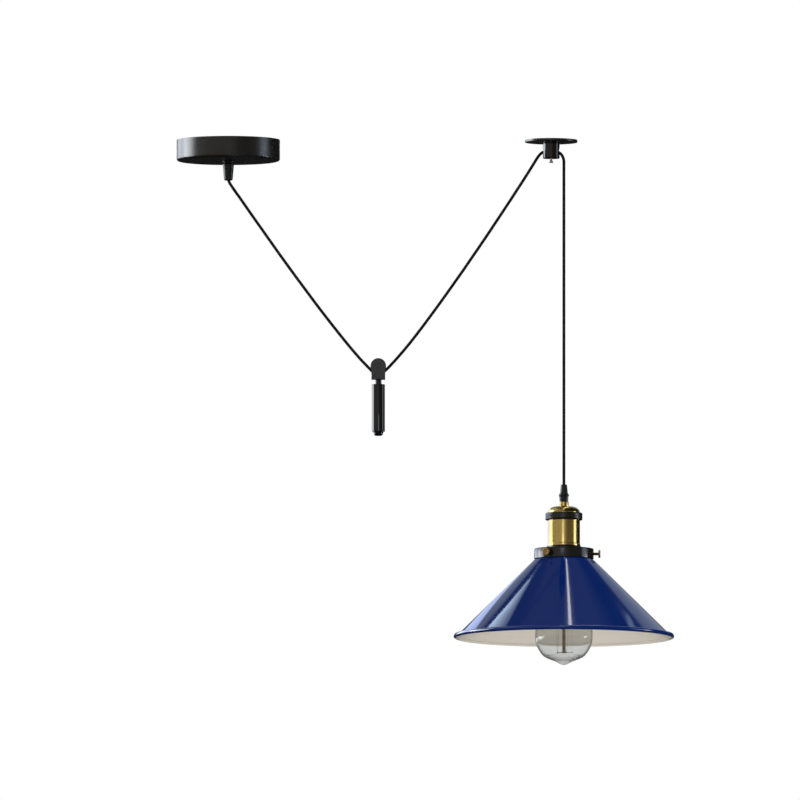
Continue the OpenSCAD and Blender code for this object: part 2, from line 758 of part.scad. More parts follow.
module cap_lock_nut() {
    color(steel) at_lamp() hex_nut(nut_d, nipple_hole, cap_top + cap_t, cap_top + cap_t + nut_h);
}

// Quarter ellipse of the cap's shoulder, for a skirt of radius r and a top at depth top
function shoulder(r, top) = [for (a = [90 : -10 : 0])
    [cap_flat_d / 2 + (r - cap_flat_d / 2) * cos(a), -ring_top + (ring_top - top) * sin(a)]];

module holder_cap() {
    r = holder_d / 2 - 0.1;
    color(brass) at_lamp() rotate_extrude($fn = 96) polygon(concat(
        [[nipple_hole / 2, -cap_top]], shoulder(r, cap_top), [[r, -ring_top - cap_skirt],
        [r - cap_t, -ring_top - cap_skirt]],
        [for (i = [9 : -1 : 0]) shoulder(r - cap_t, cap_top + cap_t)[i]],
        [[nipple_hole / 2, -cap_top - cap_t]]));
}

module lock_ring() {
    r = holder_d / 2 + ring_lip;
    hole = holder_d / 2 + fit;
    edge = 1.6;
    color(black) at_lamp() rotate_extrude($fn = 96) polygon(concat([[hole, -ring_top]],
        [for (a = [90 : -15 : 0]) [r - edge + edge * cos(a), -ring_top - edge + edge * sin(a)]],
        [for (a = [0 : -15 : -90]) [r - edge + edge * cos(a), -body_top + edge + edge * sin(a)]],
        [[hole, -body_top]]));
}

module holder_body() {
    r = holder_d / 2;
    top = ring_top + cap_skirt + 0.3;
    bead = 0.4;
    color(brass) at_lamp() rotate_extrude($fn = 96) polygon([[r, -top], [r, -body_foot + foot_bead_h],
        [r + bead, -body_foot + foot_bead_h - bead], [r + bead, -body_foot + bead], [r, -body_foot],
        [r - holder_wall, -body_foot], [r - holder_wall, -top]]);
}

module socket_insert() {
    outer = insert_d / 2;
    cavity = outer - insert_wall;
    flange = holder_d / 2 - holder_wall - 0.1;
    color(cream) at_lamp() rotate_extrude($fn = 96) polygon([[0, -insert_top], [flange, -insert_top],
        [flange, -insert_top - flange_h], [outer, -insert_top - flange_h], [outer, -insert_foot],
        [cavity, -insert_foot], [cavity, -cavity_top], [0, -cavity_top]]);
}

module at_posts() {
    for (a = [90, 210, 330]) at_lamp() rotate([0, 0, a]) translate([post_r, 0, -insert_top]) children();
}

module socket_terminals() {
    color(brass) at_posts() difference() {
        translate([-post_w / 2, -post_w / 2, 0]) cube([post_w, post_w, post_h]);
        translate([0, 0, post_h - 4]) cylinder(d = post_screw_d + 2 * fit, h = 5);
    }
}

module socket_terminal_screws() {
    color(steel) at_posts() {
        translate([0, 0, post_h - 3.6]) cylinder(d = post_screw_d, h = 4);
        translate([0, 0, post_h + 0.2]) cylinder(d = 4, h = 1.4);
    }
}

module screw_shell() {
    color(brass) at_lamp() pipe(shell_bore / 2 + shell_t, shell_bore / 2, cavity_top + shell_inset,
        cavity_top + shell_inset + shell_l);
}

module centre_contact() {
    color(brass) at_lamp() {
        translate([-6, -3, -cavity_top - 0.8]) cube([12, 6, 0.8]);
        translate([0, 0, -cavity_top - contact_post_h]) cylinder(d = 5, h = contact_post_h - 0.3);
    }
}

// One core from the end of the cord's sheath to the inner face of a terminal post
module post_core(angle) {
    end_r = post_r - post_w / 2 - 0.1;
    end_z = -insert_top + post_h / 2;
    at_lamp() rotate([0, 0, angle]) tube([[core_d * 0.65, 0, -core_start - 0.1], [core_d * 0.8, 0,
        -core_start - 1.5],
        [3.4, 0, end_z + 1.2], [5.2, 0, end_z + 0.1], [end_r, 0, end_z]], core_d / 2, 6);
}

module lamp_live_core() {
    color("saddlebrown") post_core(90);
}

module lamp_neutral_core() {
    color("royalblue") post_core(210);
}

module lamp_earth_core() {
    color("yellowgreen") post_core(330);
}

// ---- Gallery, screws and shade ----

module at_screws(i) {
    at_lamp() rotate([0, 0, 360 * i / screw_count]) translate([0, 0, -screw_z]) rotate([0, 90, 0]) children();
}

module gallery() {
    r = gallery_d / 2;
    hole = insert_d / 2 + 0.1;
    edge = 1.6;
    edge_in = edge - gallery_wall;
    neck = holder_d / 2 + 1.4;
    color(black) difference() {
        union() {
            at_lamp() rotate_extrude($fn = 128) polygon(concat(
                [[hole, -body_foot], [neck, -body_foot], [neck + 0.8, -gallery_top]],
                [for (a = [90 : -15 : 0]) [r - edge + edge * cos(a), -gallery_top - edge + edge * sin(a)]],
                [[r, -gallery_foot], [r - gallery_wall, -gallery_foot]],
                [for (a = [0 : 15 : 90]) [r - edge + edge_in * cos(a),
                    -gallery_top - edge + edge_in * sin(a)]],
                [[hole, -gallery_top - gallery_wall]]));
            for (i = [0 : screw_count - 1]) at_screws(i)
                translate([0, 0, r - gallery_wall - boss_l]) cylinder(r = boss_r,
                    h = boss_l + gallery_wall / 2);
        }
        for (i = [0 : screw_count - 1]) at_screws(i)
            translate([0, 0, r - 6]) cylinder(d = screw_d + 2 * fit, h = 8);
    }
}

module gallery_ring_nut() {
    top = gallery_top + gallery_wall;
    color(dark) at_lamp() pipe(insert_d / 2 + 5.5, insert_d / 2 + fit, top, top + 4);
}

module thumb_screw(i) {
    head_r = gallery_d / 2 + screw_out;
    edge = 0.4;
    r = screw_head_d / 2;
    color(brass) at_screws(i) rotate_extrude() polygon([[0, screw_tip_r], [screw_d / 2, screw_tip_r],
        [screw_d / 2, head_r], [r - edge, head_r], [r, head_r + edge], [r, head_r + screw_head_t - edge],
        [r - edge, head_r + screw_head_t], [0, head_r + screw_head_t]]);
}

module thumb_screw_1() {
    thumb_screw(0);
}

module thumb_screw_2() {
    thumb_screw(1);
}

module thumb_screw_3() {
    thumb_screw(2);
}

module shade() {
    color("#14286e") at_lamp() {
        rotate_extrude($fn = 192) polygon([[neck_r - shade_t, -lip_foot + shade_t], [lip_r,
            -lip_foot + shade_t],
            [lip_r, -lip_foot], [neck_r, -lip_foot], [neck_r, -neck_foot],
            [bead_c - 0.7, -rim_z], [bead_c - 0.7 - sheet_across, -rim_z],
            [neck_r - shade_t, -neck_foot - (sheet_across - shade_t) / cone_slope]]);
        rotate_extrude($fn = 192) translate([bead_c, -rim_z]) circle(d = bead_d, $fn = 32);
    }
}

// ---- Bulb ----

module bulb_cap() {
    r = bulb_cap_d / 2;
    color(steel) at_lamp() rotate_extrude($fn = 96) polygon([[r - 3, -bulb_cap_top], [r - 1, -bulb_cap_top],
        [r, -bulb_cap_top - 1], [r, -bulb_cap_foot], [r - bulb_cap_t, -bulb_cap_foot],
        [r - bulb_cap_t, -bulb_cap_top - 1 - bulb_cap_t / 2], [r - 1.2, -bulb_cap_top - bulb_cap_t],
        [r - 3, -bulb_cap_top - bulb_cap_t]]);
}

module bulb_insulator() {
    color(black) at_lamp() translate([0, 0, -bulb_cap_top])
        cylinder(r1 = bulb_cap_d / 2 - 2, r2 = 5.2, h = insulator_h);
}

module bulb_contact() {
    color(steel) at_lamp() translate([0, 0, -contact_top - contact_h])
        cylinder(r1 = 5, r2 = 3.6, h = contact_h);
}

// Pear outline [r, z] between the glass's neck and its tip, drawn in by inset on the inside
function pear(inset) = concat(
    [for (i = [0 : 16]) let (u = i / 16, z = bulb_cap_foot + 0.3 + u * (bulb_c - bulb_cap_foot - 0.3))
        [glass_neck_r + 0.3 - inset + (bulb_d / 2 - glass_neck_r - 0.3) * (1 - cos(180 * pow(u,
            1.15))) / 2, -z]],
    [for (a = [6 : 6 : 48]) [(bulb_d / 2 - inset) * cos(a), -bulb_c - (bulb_d / 2 - inset) * sin(a)]]);

module bulb_glass() {
    tip_base = bulb_d / 2 * 0.3;
    outside = pear(0);
    inside = pear(glass_t);
    color([0.75, 0.75, 0.7, 0.4]) at_lamp() rotate_extrude($fn = 96) polygon(concat(
        [[glass_neck_r - glass_t, -glass_top], [glass_neck_r, -glass_top], [glass_neck_r,
            -bulb_cap_foot - 0.1]],
        outside,
        [[tip_base * 1.6, -tip_z + 7.2], [tip_base, -tip_z + 5.4], [tip_base * 0.5, -tip_z + 3], [1.8,
            -tip_z + 0.6], [0, -tip_z]],
        [[0, -tip_z + 7.4], [tip_base * 1.5, -tip_z + 8.6]],
        [for (i = [len(inside) - 1 : -1 : 0]) inside[i]],
        [[glass_neck_r - glass_t, -bulb_cap_foot + 0.2]]));
}

module bulb_stem() {
    flare_r = glass_neck_r - glass_t - 0.2;
    color([0.8, 0.85, 0.85, 0.5]) at_lamp() rotate_extrude() polygon([[0, -glass_top - 1], [flare_r,
        -glass_top - 1],
        [flare_r, -glass_top - 2], [stem_r + 1, -glass_top - 5], [stem_r, -glass_top - 9],
        [stem_r, -glass_top - stem_l + 3], [stem_r - 2, -glass_top - stem_l], [0, -glass_top - stem_l]]);
}

module bulb_support_rod() {
    color("#5a4326") at_lamp() {
        translate([0, 0, -rod_foot]) cylinder(d = support_rod_d, h = rod_foot - glass_top - stem_l);
        translate([0, 0, -rod_foot - 0.6]) cylinder(r = 3.2, h = 1.2);
        for (k = [0 : filament_n - 1]) rotate([0, 0, 360 * k / filament_n])
            translate([arm_in, 0, -hook_z(k)]) rotate([0, 90, 0])
                cylinder(r = wire_r, h = hook_r - hook_bead - 0.1 - arm_in, $fn = 16);
    }
}

// One straight wire from a lower hook to the next upper one, or back
module filament_wire(k) {
    run = hook(k + 1, -1) - hook(k, 1);
    translate(hook(k, 1)) rotate([0, acos(run[2] / norm(run)), atan2(run[1], run[0])])
        cylinder(r = wire_r, h = norm(run), $fn = 16);
}

module bulb_filament() {
    color("#7a5a30") at_lamp() {
        for (k = [0 : filament_n - 2]) filament_wire(k);
        for (k = [0 : filament_n - 1]) translate(hook(k, 0)) rotate([0, 0, 360 * k / filament_n])
            rotate([90, 0, 0]) cylinder(r = hook_bead, h = 2 * (hook_half + wire_r), center = true, $fn = 16);
    }
}

rose_cup();
rose_bracket();
rose_side_screws();
rose_nipple();
rose_lock_nut();
rose_cord_grip();
terminal_block();
terminal_tubes();
terminal_screws();
terminal_fixing_screw();
earth_screw();
earth_washer();
rose_live_core();
rose_neutral_core();
rose_earth_core();
guide_plate();
guide_body();
guide_fixing_screw();
left_cord_bush();
right_cord_bush();
clamp_pad();
clamp_screw();
cord_rose_leg();
cord_guide_leg();
cord_guide_arch();
cord_lamp_drop();
pulley_block();
sheave();
sheave_axle();
weight_stem();
counterweight();
weight_end_nut();
lamp_cord_grip();
grip_collar();
lamp_nipple();
cap_lock_nut();
holder_cap();
lock_ring();
holder_body();
socket_insert();
socket_terminals();
socket_terminal_screws();
screw_shell();
centre_contact();
lamp_live_core();
lamp_neutral_core();
lamp_earth_core();
gallery();
gallery_ring_nut();
thumb_screw_1();
thumb_screw_2();
thumb_screw_3();
shade();
bulb_cap();
bulb_insulator();
bulb_contact();
bulb_glass();
bulb_stem();
bulb_support_rod();
bulb_filament();
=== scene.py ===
# Looks of a rise and fall pendant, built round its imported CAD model.
# The frame is in metres, +Z up, with the origin on the ceiling at the rose's centre.
# Outlines of (r, z) and routes of (x, z) are in millimetres. The third number of a corner is
# how far its rounding reaches along both edges.
import json
import math

import bmesh
import bpy
from mathutils import Matrix, Vector


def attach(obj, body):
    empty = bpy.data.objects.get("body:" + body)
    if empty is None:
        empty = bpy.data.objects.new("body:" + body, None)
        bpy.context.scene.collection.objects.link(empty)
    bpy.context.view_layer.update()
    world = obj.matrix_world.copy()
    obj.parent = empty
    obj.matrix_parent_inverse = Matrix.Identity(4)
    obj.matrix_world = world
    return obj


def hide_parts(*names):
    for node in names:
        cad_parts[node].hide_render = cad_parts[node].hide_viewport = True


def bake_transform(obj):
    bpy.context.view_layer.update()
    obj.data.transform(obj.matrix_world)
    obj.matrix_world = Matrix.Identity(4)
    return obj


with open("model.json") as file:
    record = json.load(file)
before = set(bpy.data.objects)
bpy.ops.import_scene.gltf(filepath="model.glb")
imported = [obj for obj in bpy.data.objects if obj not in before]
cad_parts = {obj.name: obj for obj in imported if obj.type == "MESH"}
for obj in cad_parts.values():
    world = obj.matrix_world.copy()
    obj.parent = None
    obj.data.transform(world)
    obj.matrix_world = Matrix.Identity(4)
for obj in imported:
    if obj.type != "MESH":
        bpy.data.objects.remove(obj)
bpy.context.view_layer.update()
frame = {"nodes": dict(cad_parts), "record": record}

MM = 0.001
GUIDE_X = 381.0
WEIGHT_X = 177.0
LAMP_X = 396.0
AXLE_Z = -268.0
CORD_D = 3.5
CREASE = 32  # degrees between faces from which their edge is sharp
SOFT_CREASE = 60
TO_X = Matrix.Rotation(math.radians(90), 4, "Y")
TO_Y = Matrix.Rotation(math.radians(-90), 4, "X")
scene = bpy.context.scene
link = scene.collection.objects.link


# ---- Camera ----

def make_camera():
    tilt = math.radians(4.7)
    look = Vector((0, math.cos(tilt), math.sin(tilt)))
    aim, distance, width = Vector((0.2026, 0, -0.3078)), 2.5, 0.944
    data = bpy.data.cameras.new("camera")
    data.type = "ORTHO"
    data.ortho_scale = width
    camera = bpy.data.objects.new("camera", data)
    camera.location = aim - look * distance
    camera.rotation_mode = "QUATERNION"
    camera.rotation_quaternion = look.to_track_quat("-Z", "Y")
    link(camera)
    scene.camera = camera


make_camera()


# ---- Materials ----

class Look:
    """A node material round one Principled shader. A noise's scale is per metre."""

    def __init__(self, name, color, rough, metal=0.0, **numbers):
        self.material = bpy.data.materials.new(name)
        self.material.use_nodes = True
        self.nodes = self.material.node_tree.nodes
        self.links = self.material.node_tree.links
        self.shader = self.nodes["Principled BSDF"]
        self.shader.inputs["Base Color"].default_value = (*color, 1)
        self.shader.inputs["Roughness"].default_value = rough
        self.shader.inputs["Metallic"].default_value = metal
        for key, value in numbers.items():
            self.shader.inputs[key.replace("_", " ")].default_value = value
        self.coords = self.nodes.new("ShaderNodeTexCoord").outputs["Object"]

    def noise(self, scale, detail=3.0, stretch=(1, 1, 1)):
        mapping = self.nodes.new("ShaderNodeMapping")
        mapping.inputs["Scale"].default_value = stretch
        self.links.new(self.coords, mapping.inputs["Vector"])
        tex = self.nodes.new("ShaderNodeTexNoise")
        tex.inputs["Scale"].default_value = scale
        tex.inputs["Detail"].default_value = detail
        self.links.new(mapping.outputs["Vector"], tex.inputs["Vector"])
        return tex.outputs["Fac"]

    def spread(self, fac, low, high, start=0.3, end=0.7):
        node = self.nodes.new("ShaderNodeMapRange")
        node.inputs["From Min"].default_value = start
        node.inputs["From Max"].default_value = end
        node.inputs["To Min"].default_value = low
        node.inputs["To Max"].default_value = high
        self.links.new(fac, node.inputs["Value"])
        return node.outputs["Result"]

    def rough(self, fac, low, high):
        self.links.new(self.spread(fac, low, high), self.shader.inputs["Roughness"])

    def tint(self, fac, one, two, start=0.3, end=0.7):
        node = self.nodes.new("ShaderNodeMix")
        node.data_type = "RGBA"
        self.links.new(self.spread(fac, 0, 1, start, end), node.inputs[0])
        colors = [s for s in node.inputs if s.type == "RGBA"]
        colors[0].default_value = (*one, 1)
        colors[1].default_value = (*two, 1)
        result = [s for s in node.outputs if s.type == "RGBA"][0]
        self.links.new(result, self.shader.inputs["Base Color"])

    def bump(self, fac, strength, distance):
        node = self.nodes.new("ShaderNodeBump")
        node.inputs["Strength"].default_value = strength
        node.inputs["Distance"].default_value = distance
        self.links.new(fac, node.inputs["Height"])
        self.links.new(node.outputs["Normal"], self.shader.inputs["Normal"])


def shaded(color, part):
    return tuple(c * part for c in color)


def paint(name, color, low, high, peel=0.15, grain=900, gloss=0.5):
    patches, mottle, peel_depth = 60, 35, 0.00005
    look = Look(name, color, (low + high) / 2, Specular_IOR_Level=gloss)
    look.rough(look.noise(patches), low, high)
    look.tint(look.noise(mottle, 4), shaded(color, 0.8), color)
    look.bump(look.noise(grain, 2), peel, peel_depth)
    return look.material


def turned_metal(name, dark, light, low, high, marks=0.08, metal=1.0):
    """Metal with faint marks round it, as a lathe leaves them."""
    mottle, patches, ridges, flat, ridge_depth = 70, 120, 400, (0.1, 0.1, 8), 0.00001
    look = Look(name, light, (low + high) / 2, metal)
    look.tint(look.noise(mottle, 5), dark, light)
    look.rough(look.noise(patches, 4), low, high)
    look.bump(look.noise(ridges, 3, flat), marks, ridge_depth)
    return look.material


def moulded(name, color, rough):
    patches, mottle, grain, either_way, relief, depth = 200, 50, 1400, 0.06, 0.12, 0.00006
    look = Look(name, color, rough)
    look.rough(look.noise(patches), rough - either_way, rough + either_way)
    look.tint(look.noise(mottle, 4), shaded(color, 0.85), color)
    look.bump(look.noise(grain, 3), relief, depth)
    return look.material


def enamel(name, color, low=0.05, high=0.09):
    patches, mottle, waves, relief, depth = 40, 14, 55, 0.06, 0.0004
    look = Look(name, color, low, Coat_Weight=0.5, Coat_Roughness=0.03)
    look.rough(look.noise(patches), low, high)
    look.tint(look.noise(mottle, 3), shaded(color, 0.92), color)
    look.bump(look.noise(waves, 2), relief, depth)
    return look.material


def clear(name, color, edge=0.04):
    """Glass with a faint unevenness, and painted shade that darkens it where seen edge on."""
    mottle, shade_from, shade_full = 20, 0.6, 0.86
    look = Look(name, color, 0.0, IOR=1.47, Transmission_Weight=1.0)
    look.tint(look.noise(mottle, 2), shaded(color, 0.98), color)
    body = look.shader.inputs["Base Color"].links[0].from_socket
    # Painted shade: Layer Weight darkens the colour where the glass is seen edge on, down to the
    # part given by edge at the outline.
    facing = look.nodes.new("ShaderNodeLayerWeight").outputs["Facing"]
    look.tint(facing, color, shaded(color, edge), shade_from, shade_full)
    rim = look.shader.inputs["Base Color"].links[0].from_node
    look.links.new(body, [i for i in rim.inputs if i.type == "RGBA"][0])
    return look.material


def fabric(name, color):
    mottle, fibres, relief, depth = 1500, 4000, 0.3, 0.00006
    look = Look(name, color, 0.75, Sheen_Weight=0.03, Sheen_Roughness=0.4,
                Specular_IOR_Level=0.15)
    look.tint(look.noise(mottle, 3), shaded(color, 0.8), shaded(color, 1.3))
    look.bump(look.noise(fibres, 2), relief, depth)
    return look.material


LOOKS = {
    "rose_paint": paint("rose_paint", (0.0055, 0.0052, 0.0052), 0.25, 0.32, 0.05, gloss=0.65),
    "black_steel": paint("black_steel", (0.0018, 0.0018, 0.0019), 0.1, 0.14, 0.05),
    "grip_plastic": moulded("grip_plastic", (0.006, 0.006, 0.007), 0.34),
    "zinc_steel": turned_metal("zinc_steel", (0.48, 0.48, 0.47), (0.58, 0.58, 0.57), 0.25, 0.4),
    "terminal_plastic": moulded("terminal_plastic", (0.78, 0.76, 0.7), 0.45),
    "plain_brass": turned_metal("plain_brass", (0.58, 0.4, 0.16), (0.7, 0.52, 0.24), 0.22, 0.38),
    "core_live": moulded("core_live", (0.16, 0.07, 0.03), 0.35),
    "core_neutral": moulded("core_neutral", (0.05, 0.16, 0.5), 0.35),
    "core_earth": moulded("core_earth", (0.25, 0.5, 0.08), 0.35),
    "bush_plastic": moulded("bush_plastic", (0.03, 0.03, 0.03), 0.4),
    "pad_plastic": moulded("pad_plastic", (0.6, 0.58, 0.52), 0.5),
    "cord_braid": fabric("cord_braid", (0.006, 0.0058, 0.006)),
    "block_paint": paint("block_paint", (0.031, 0.031, 0.032), 0.5, 0.6, 0.4, 1600),
    "weight_gloss": paint("weight_gloss", (0.0015, 0.0015, 0.0017), 0.05, 0.08, 0.03),
    "aged_brass": turned_metal("aged_brass", (0.61, 0.44, 0.14), (0.67, 0.485, 0.165),
                               0.15, 0.21, 0.05),
    "ring_paint": paint("ring_paint", (0.0085, 0.0065, 0.004), 0.24, 0.34, 0.3, 700),
    "gallery_paint": paint("gallery_paint", (0.006, 0.006, 0.0055), 0.15, 0.2, 0.08),
    "socket_ceramic": enamel("socket_ceramic", (0.8, 0.78, 0.72), 0.12, 0.2),
    "shade_enamel": enamel("shade_enamel", (0.0014, 0.0165, 0.125)),
    "smoky_glass": clear("smoky_glass", (0.78, 0.79, 0.78)),
    "stem_glass": clear("stem_glass", (0.93, 0.95, 0.95), 0.6),
    "bulb_insulation": moulded("bulb_insulation", (0.02, 0.02, 0.02), 0.2),
    "solder": turned_metal("solder", (0.5, 0.51, 0.53), (0.6, 0.61, 0.63), 0.3, 0.5),
    "bronze_rod": turned_metal("bronze_rod", (0.25, 0.18, 0.1), (0.36, 0.27, 0.16), 0.35, 0.5),
    "filament_wire": turned_metal("filament_wire", (0.07, 0.05, 0.035), (0.12, 0.09, 0.06),
                                  0.4, 0.5),
}
# A darker copy of the aged brass for the thumb screws: their darker tone is painted shade.
SHADED_SCREW_BRASS = turned_metal("shaded_screw_brass", (0.34, 0.22, 0.07), (0.46, 0.31, 0.1), 0.22, 0.32, 0.1)
PALE_STEEL = turned_metal("pale_steel", (0.3, 0.3, 0.31), (0.42, 0.42, 0.43), 0.3, 0.45,
                          metal=0.4)
INSIDE_ENAMEL = enamel("inside_enamel", (0.92, 0.85, 0.74), 0.12, 0.2)


# ---- Mesh helpers ----

def smooth(mesh, crease):
    mesh.polygons.foreach_set("use_smooth", [True] * len(mesh.polygons))
    mesh.set_sharp_from_angle(angle=math.radians(crease))


def add_mesh(name, verts, faces, slot, crease=CREASE, looks=None, marks=None):
    """A piece in the looks given, or in its slot's. A cutting tool has no slot."""
    mesh = bpy.data.meshes.new(name)
    mesh.from_pydata(verts, [], faces)
    for look in looks or [LOOKS[slot]]:
        mesh.materials.append(look)
    if marks:
        mesh.polygons.foreach_set("material_index", marks)
    shape = bmesh.new()
    shape.from_mesh(mesh)
    bmesh.ops.recalc_face_normals(shape, faces=shape.faces)
    shape.to_mesh(mesh)
    shape.free()
    smooth(mesh, crease)
    piece = bpy.data.objects.new(name, mesh)
    link(piece)
    return piece


def rounded(corners, steps=5):
    """Rounds the corners (r, z, reach) of a closed outline, each over less than half an edge."""
    most = 0.48
    out = []
    for i, corner in enumerate(corners):
        p = Vector(corner[:2])
        if len(corner) < 3:
            out.append(tuple(p))
            continue
        before = Vector(corners[i - 1][:2]) - p
        after = Vector(corners[(i + 1) % len(corners)][:2]) - p
        a = p + before.normalized() * min(corner[2], before.length * most)
        b = p + after.normalized() * min(corner[2], after.length * most)
        for k in range(steps + 1):
            t = k / steps
            out.append(tuple(a * (1 - t) ** 2 + p * 2 * t * (1 - t) + b * t * t))
    return out


def turn(name, outline, slot, sides=96, place=None, ripple=None, looks=None, paint_of=None,
         crease=CREASE):
    """Turns a closed outline round the local Z axis, then puts it in place."""
    place = place or Matrix.Identity(4)
    on_axis = 1e-6
    verts, rings = [], []
    for r, z in outline:
        if r < on_axis:
            rings.append([len(verts)])
            verts.append(place @ Vector((0, 0, z * MM)))
            continue
        ring = []
        for k in range(sides):
            angle = math.tau * k / sides
            far = ripple(r, z, angle) if ripple else r
            ring.append(len(verts))
            verts.append(place @ Vector((far * math.cos(angle) * MM, far * math.sin(angle) * MM,
                                         z * MM)))
        rings.append(ring)
    faces, marks = [], []
    for i, a in enumerate(rings):
        b = rings[(i + 1) % len(rings)]
        mark = paint_of(i) if paint_of else 0
        for k in range(sides):
            n = (k + 1) % sides
            if len(a) > 1 and len(b) > 1:
                faces.append((a[k], a[n], b[n], b[k]))
            elif len(a) > 1:
                faces.append((a[k], a[n], b[0]))
            elif len(b) > 1:
                faces.append((a[0], b[n], b[k]))
            else:
                break
            marks.append(mark)
    return add_mesh(name, [tuple(v) for v in verts], faces, slot, crease, looks, marks)


def at(x, z=0.0, y=0.0):
    return Matrix.Translation((x * MM, y * MM, z * MM))


def cut(piece, *tools):
    """Cuts the tools out of the piece and removes them."""
    for tool in tools:
        modifier = piece.modifiers.new("cut", "BOOLEAN")
        modifier.operation = "DIFFERENCE"
        modifier.solver = "EXACT"
        modifier.object = tool
    bpy.context.view_layer.update()
    done = piece.evaluated_get(bpy.context.evaluated_depsgraph_get())
    mesh = bpy.data.meshes.new_from_object(done)
    piece.modifiers.clear()
    old = piece.data
    piece.data = mesh
    bpy.data.meshes.remove(old)
    mesh.name = piece.name
    for tool in tools:
        bpy.data.objects.remove(tool)
    smooth(mesh, CREASE)


def drill(radius, length, place, far_radius=None):
    """A cutting tool: a cylinder or cone from local Z 0 up to length."""
    top = radius if far_radius is None else far_radius
    return turn("drill", [(0, 0), (radius, 0), (top, length), (0, length)], None, 48, place,
                looks=[LOOKS["black_steel"]])


def stand(piece, body, *nodes):
    """Lets the piece move with a body and stand for CAD parts."""
    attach(piece, body)
    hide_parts(*nodes)


def threaded(radius, pitch, depth, low, high):
    """Radius along a helix between two heights, fading at both ends."""
    band = 0.3

    def ripple(r, z, angle):
        if not low < z < high or r < radius - band or r > radius + band:
            return r
        fade = min(1, (z - low) / pitch, (high - z) / pitch)
        return r - depth * fade * (0.5 - 0.5 * math.cos(math.tau * z / pitch + angle))
    return ripple


def steps_between(r, low, high, pitch, per_turn=8):
    """Points down a straight side, close enough together for its thread."""
    count = max(2, round((high - low) / pitch * per_turn))
    return [(r, high + (low - high) * k / count) for k in range(count + 1)]


# ---- Cord ----

ROSE_LEG = [
    (0, -16.5), (0, -26), (0, -36), (0, -44), (0.6, -48.6), (2.9, -53), (9, -62), (14, -69),
    (19, -76.2), (24, -83.4), (29, -90.6), (39, -104.8), (49, -119), (59, -133.2),
    (69.2, -147.4), (79.5, -161.6), (90, -175.8), (100.5, -190), (111.2, -204.2),
    (122.2, -218.4), (133.4, -232.6), (145, -246.8), (157.2, -260.9), (164, -267.9),
    (170.4, -274.5), (173.2, -276.6), (175.6, -277.4), (177, -277.4)]
GUIDE_LEG = [
    (177, -277.4), (178.4, -277.4), (180.8, -276.6), (183.6, -274.5), (190.4, -267.9),
    (203, -253.9), (214.8, -239.7), (225.8, -225.5), (236.4, -211.3), (246.8, -197.1),
    (257, -182.9), (267, -168.7), (277, -154.5), (286.7, -140.3), (296.4, -126.1),
    (306, -111.9), (315.4, -97.7), (324.8, -83.5), (334.1, -69.3), (343.3, -55.1),
    (352.4, -40.9), (358.2, -31.6), (362.5, -24.6), (365.7, -19.6), (368.4, -16.5),
    (371.2, -14.5), (374.5, -13.8), (381, -13.8)]
SPLIT_Z = -45.0
ARCH = [
    (381, -13.8), (386.4, -13.8), (389.6, -14.6), (392.4, -16.5), (394.5, -19.6),
    (395.7, -23.2), (396, -26.6), (396, -30), (396, -38), (396, SPLIT_Z)]
DROP = [(LAMP_X, SPLIT_Z), (LAMP_X, -60)]
DROP += [(LAMP_X, -z) for z in range(100, 420, 40)]
DROP += [(LAMP_X, -410), (LAMP_X, -443)]


def smooth_line(route, step):
    """Points at even steps along a smooth curve through the route, in mm, and its length."""
    fine, least = 0.25, 1e-9
    pts = [Vector((x, 0, z)) for x, z in route]
    pts = [pts[0] * 2 - pts[1]] + pts + [pts[-1] * 2 - pts[-2]]
    dense = []
    for i in range(1, len(pts) - 2):
        p0, p1, p2, p3 = pts[i - 1:i + 3]
        count = max(4, int((p2 - p1).length / fine))
        m1 = (p2 - p0) * ((p2 - p1).length / (p2 - p0).length)
        m2 = (p3 - p1) * ((p2 - p1).length / (p3 - p1).length)
        for k in range(count):
            t = k / count
            dense.append(p1 * (2 * t**3 - 3 * t**2 + 1) + m1 * (t**3 - 2 * t**2 + t)
                         + p2 * (3 * t**2 - 2 * t**3) + m2 * (t**3 - t**2))
    dense.append(pts[-2])
    lengths = [0.0]
    for a, b in zip(dense, dense[1:]):
        lengths.append(lengths[-1] + (b - a).length)
    count = max(2, round(lengths[-1] / step))
    out, j = [], 0
    for i in range(count + 1):
        want = lengths[-1] * i / count
        while j < len(lengths) - 2 and lengths[j + 1] < want:
            j += 1
        t = (want - lengths[j]) / max(lengths[j + 1] - lengths[j], least)
        out.append(dense[j].lerp(dense[j + 1], t))
    return out, lengths[-1]


def braid(name, route):
    """A tube whose radius follows two crossing sets of strands."""
    sides, strands, pitch, step = 24, 6, 2.4, 0.5
    relief, mean_lift, path_every = 0.012, 0.4, 8
    line, length = smooth_line(route, step)
    across = Vector((0, 1, 0))
    verts, faces = [], []
    for i, p in enumerate(line):
        ahead = (line[min(i + 1, len(line) - 1)] - line[max(i - 1, 0)]).normalized()
        up = ahead.cross(across)
        along = length * i / (len(line) - 1) / pitch
        for k in range(sides):
            part = strands * k / sides
            lift = math.cos(math.pi * (part + along)) * math.cos(math.pi * (part - along))
            r = CORD_D / 2 * (1 + relief * (abs(lift) - mean_lift))
            angle = math.tau * k / sides
            verts.append(tuple((p + up * r * math.cos(angle) + across * r * math.sin(angle))
                               * MM))
    for i in range(len(line) - 1):
        for k in range(sides):
            n = (k + 1) % sides
            a, b = i * sides, (i + 1) * sides
            faces.append((a + k, a + n, b + n, b + k))
    faces.append(tuple(range(sides)))
    faces.append(tuple(range((len(line) - 1) * sides, len(line) * sides))[::-1])
    piece = add_mesh(name, verts, faces, "cord_braid", SOFT_CREASE)
    path = [tuple(p * MM) for p in line[::path_every]]
    if (line[-1] * MM - Vector(path[-1])).length > 1e-6:
        path.append(tuple(line[-1] * MM))
    return piece, length * MM, path


def hang(name, route, node):
    piece, length, path = braid(name, route)
    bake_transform(piece)
    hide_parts(node)


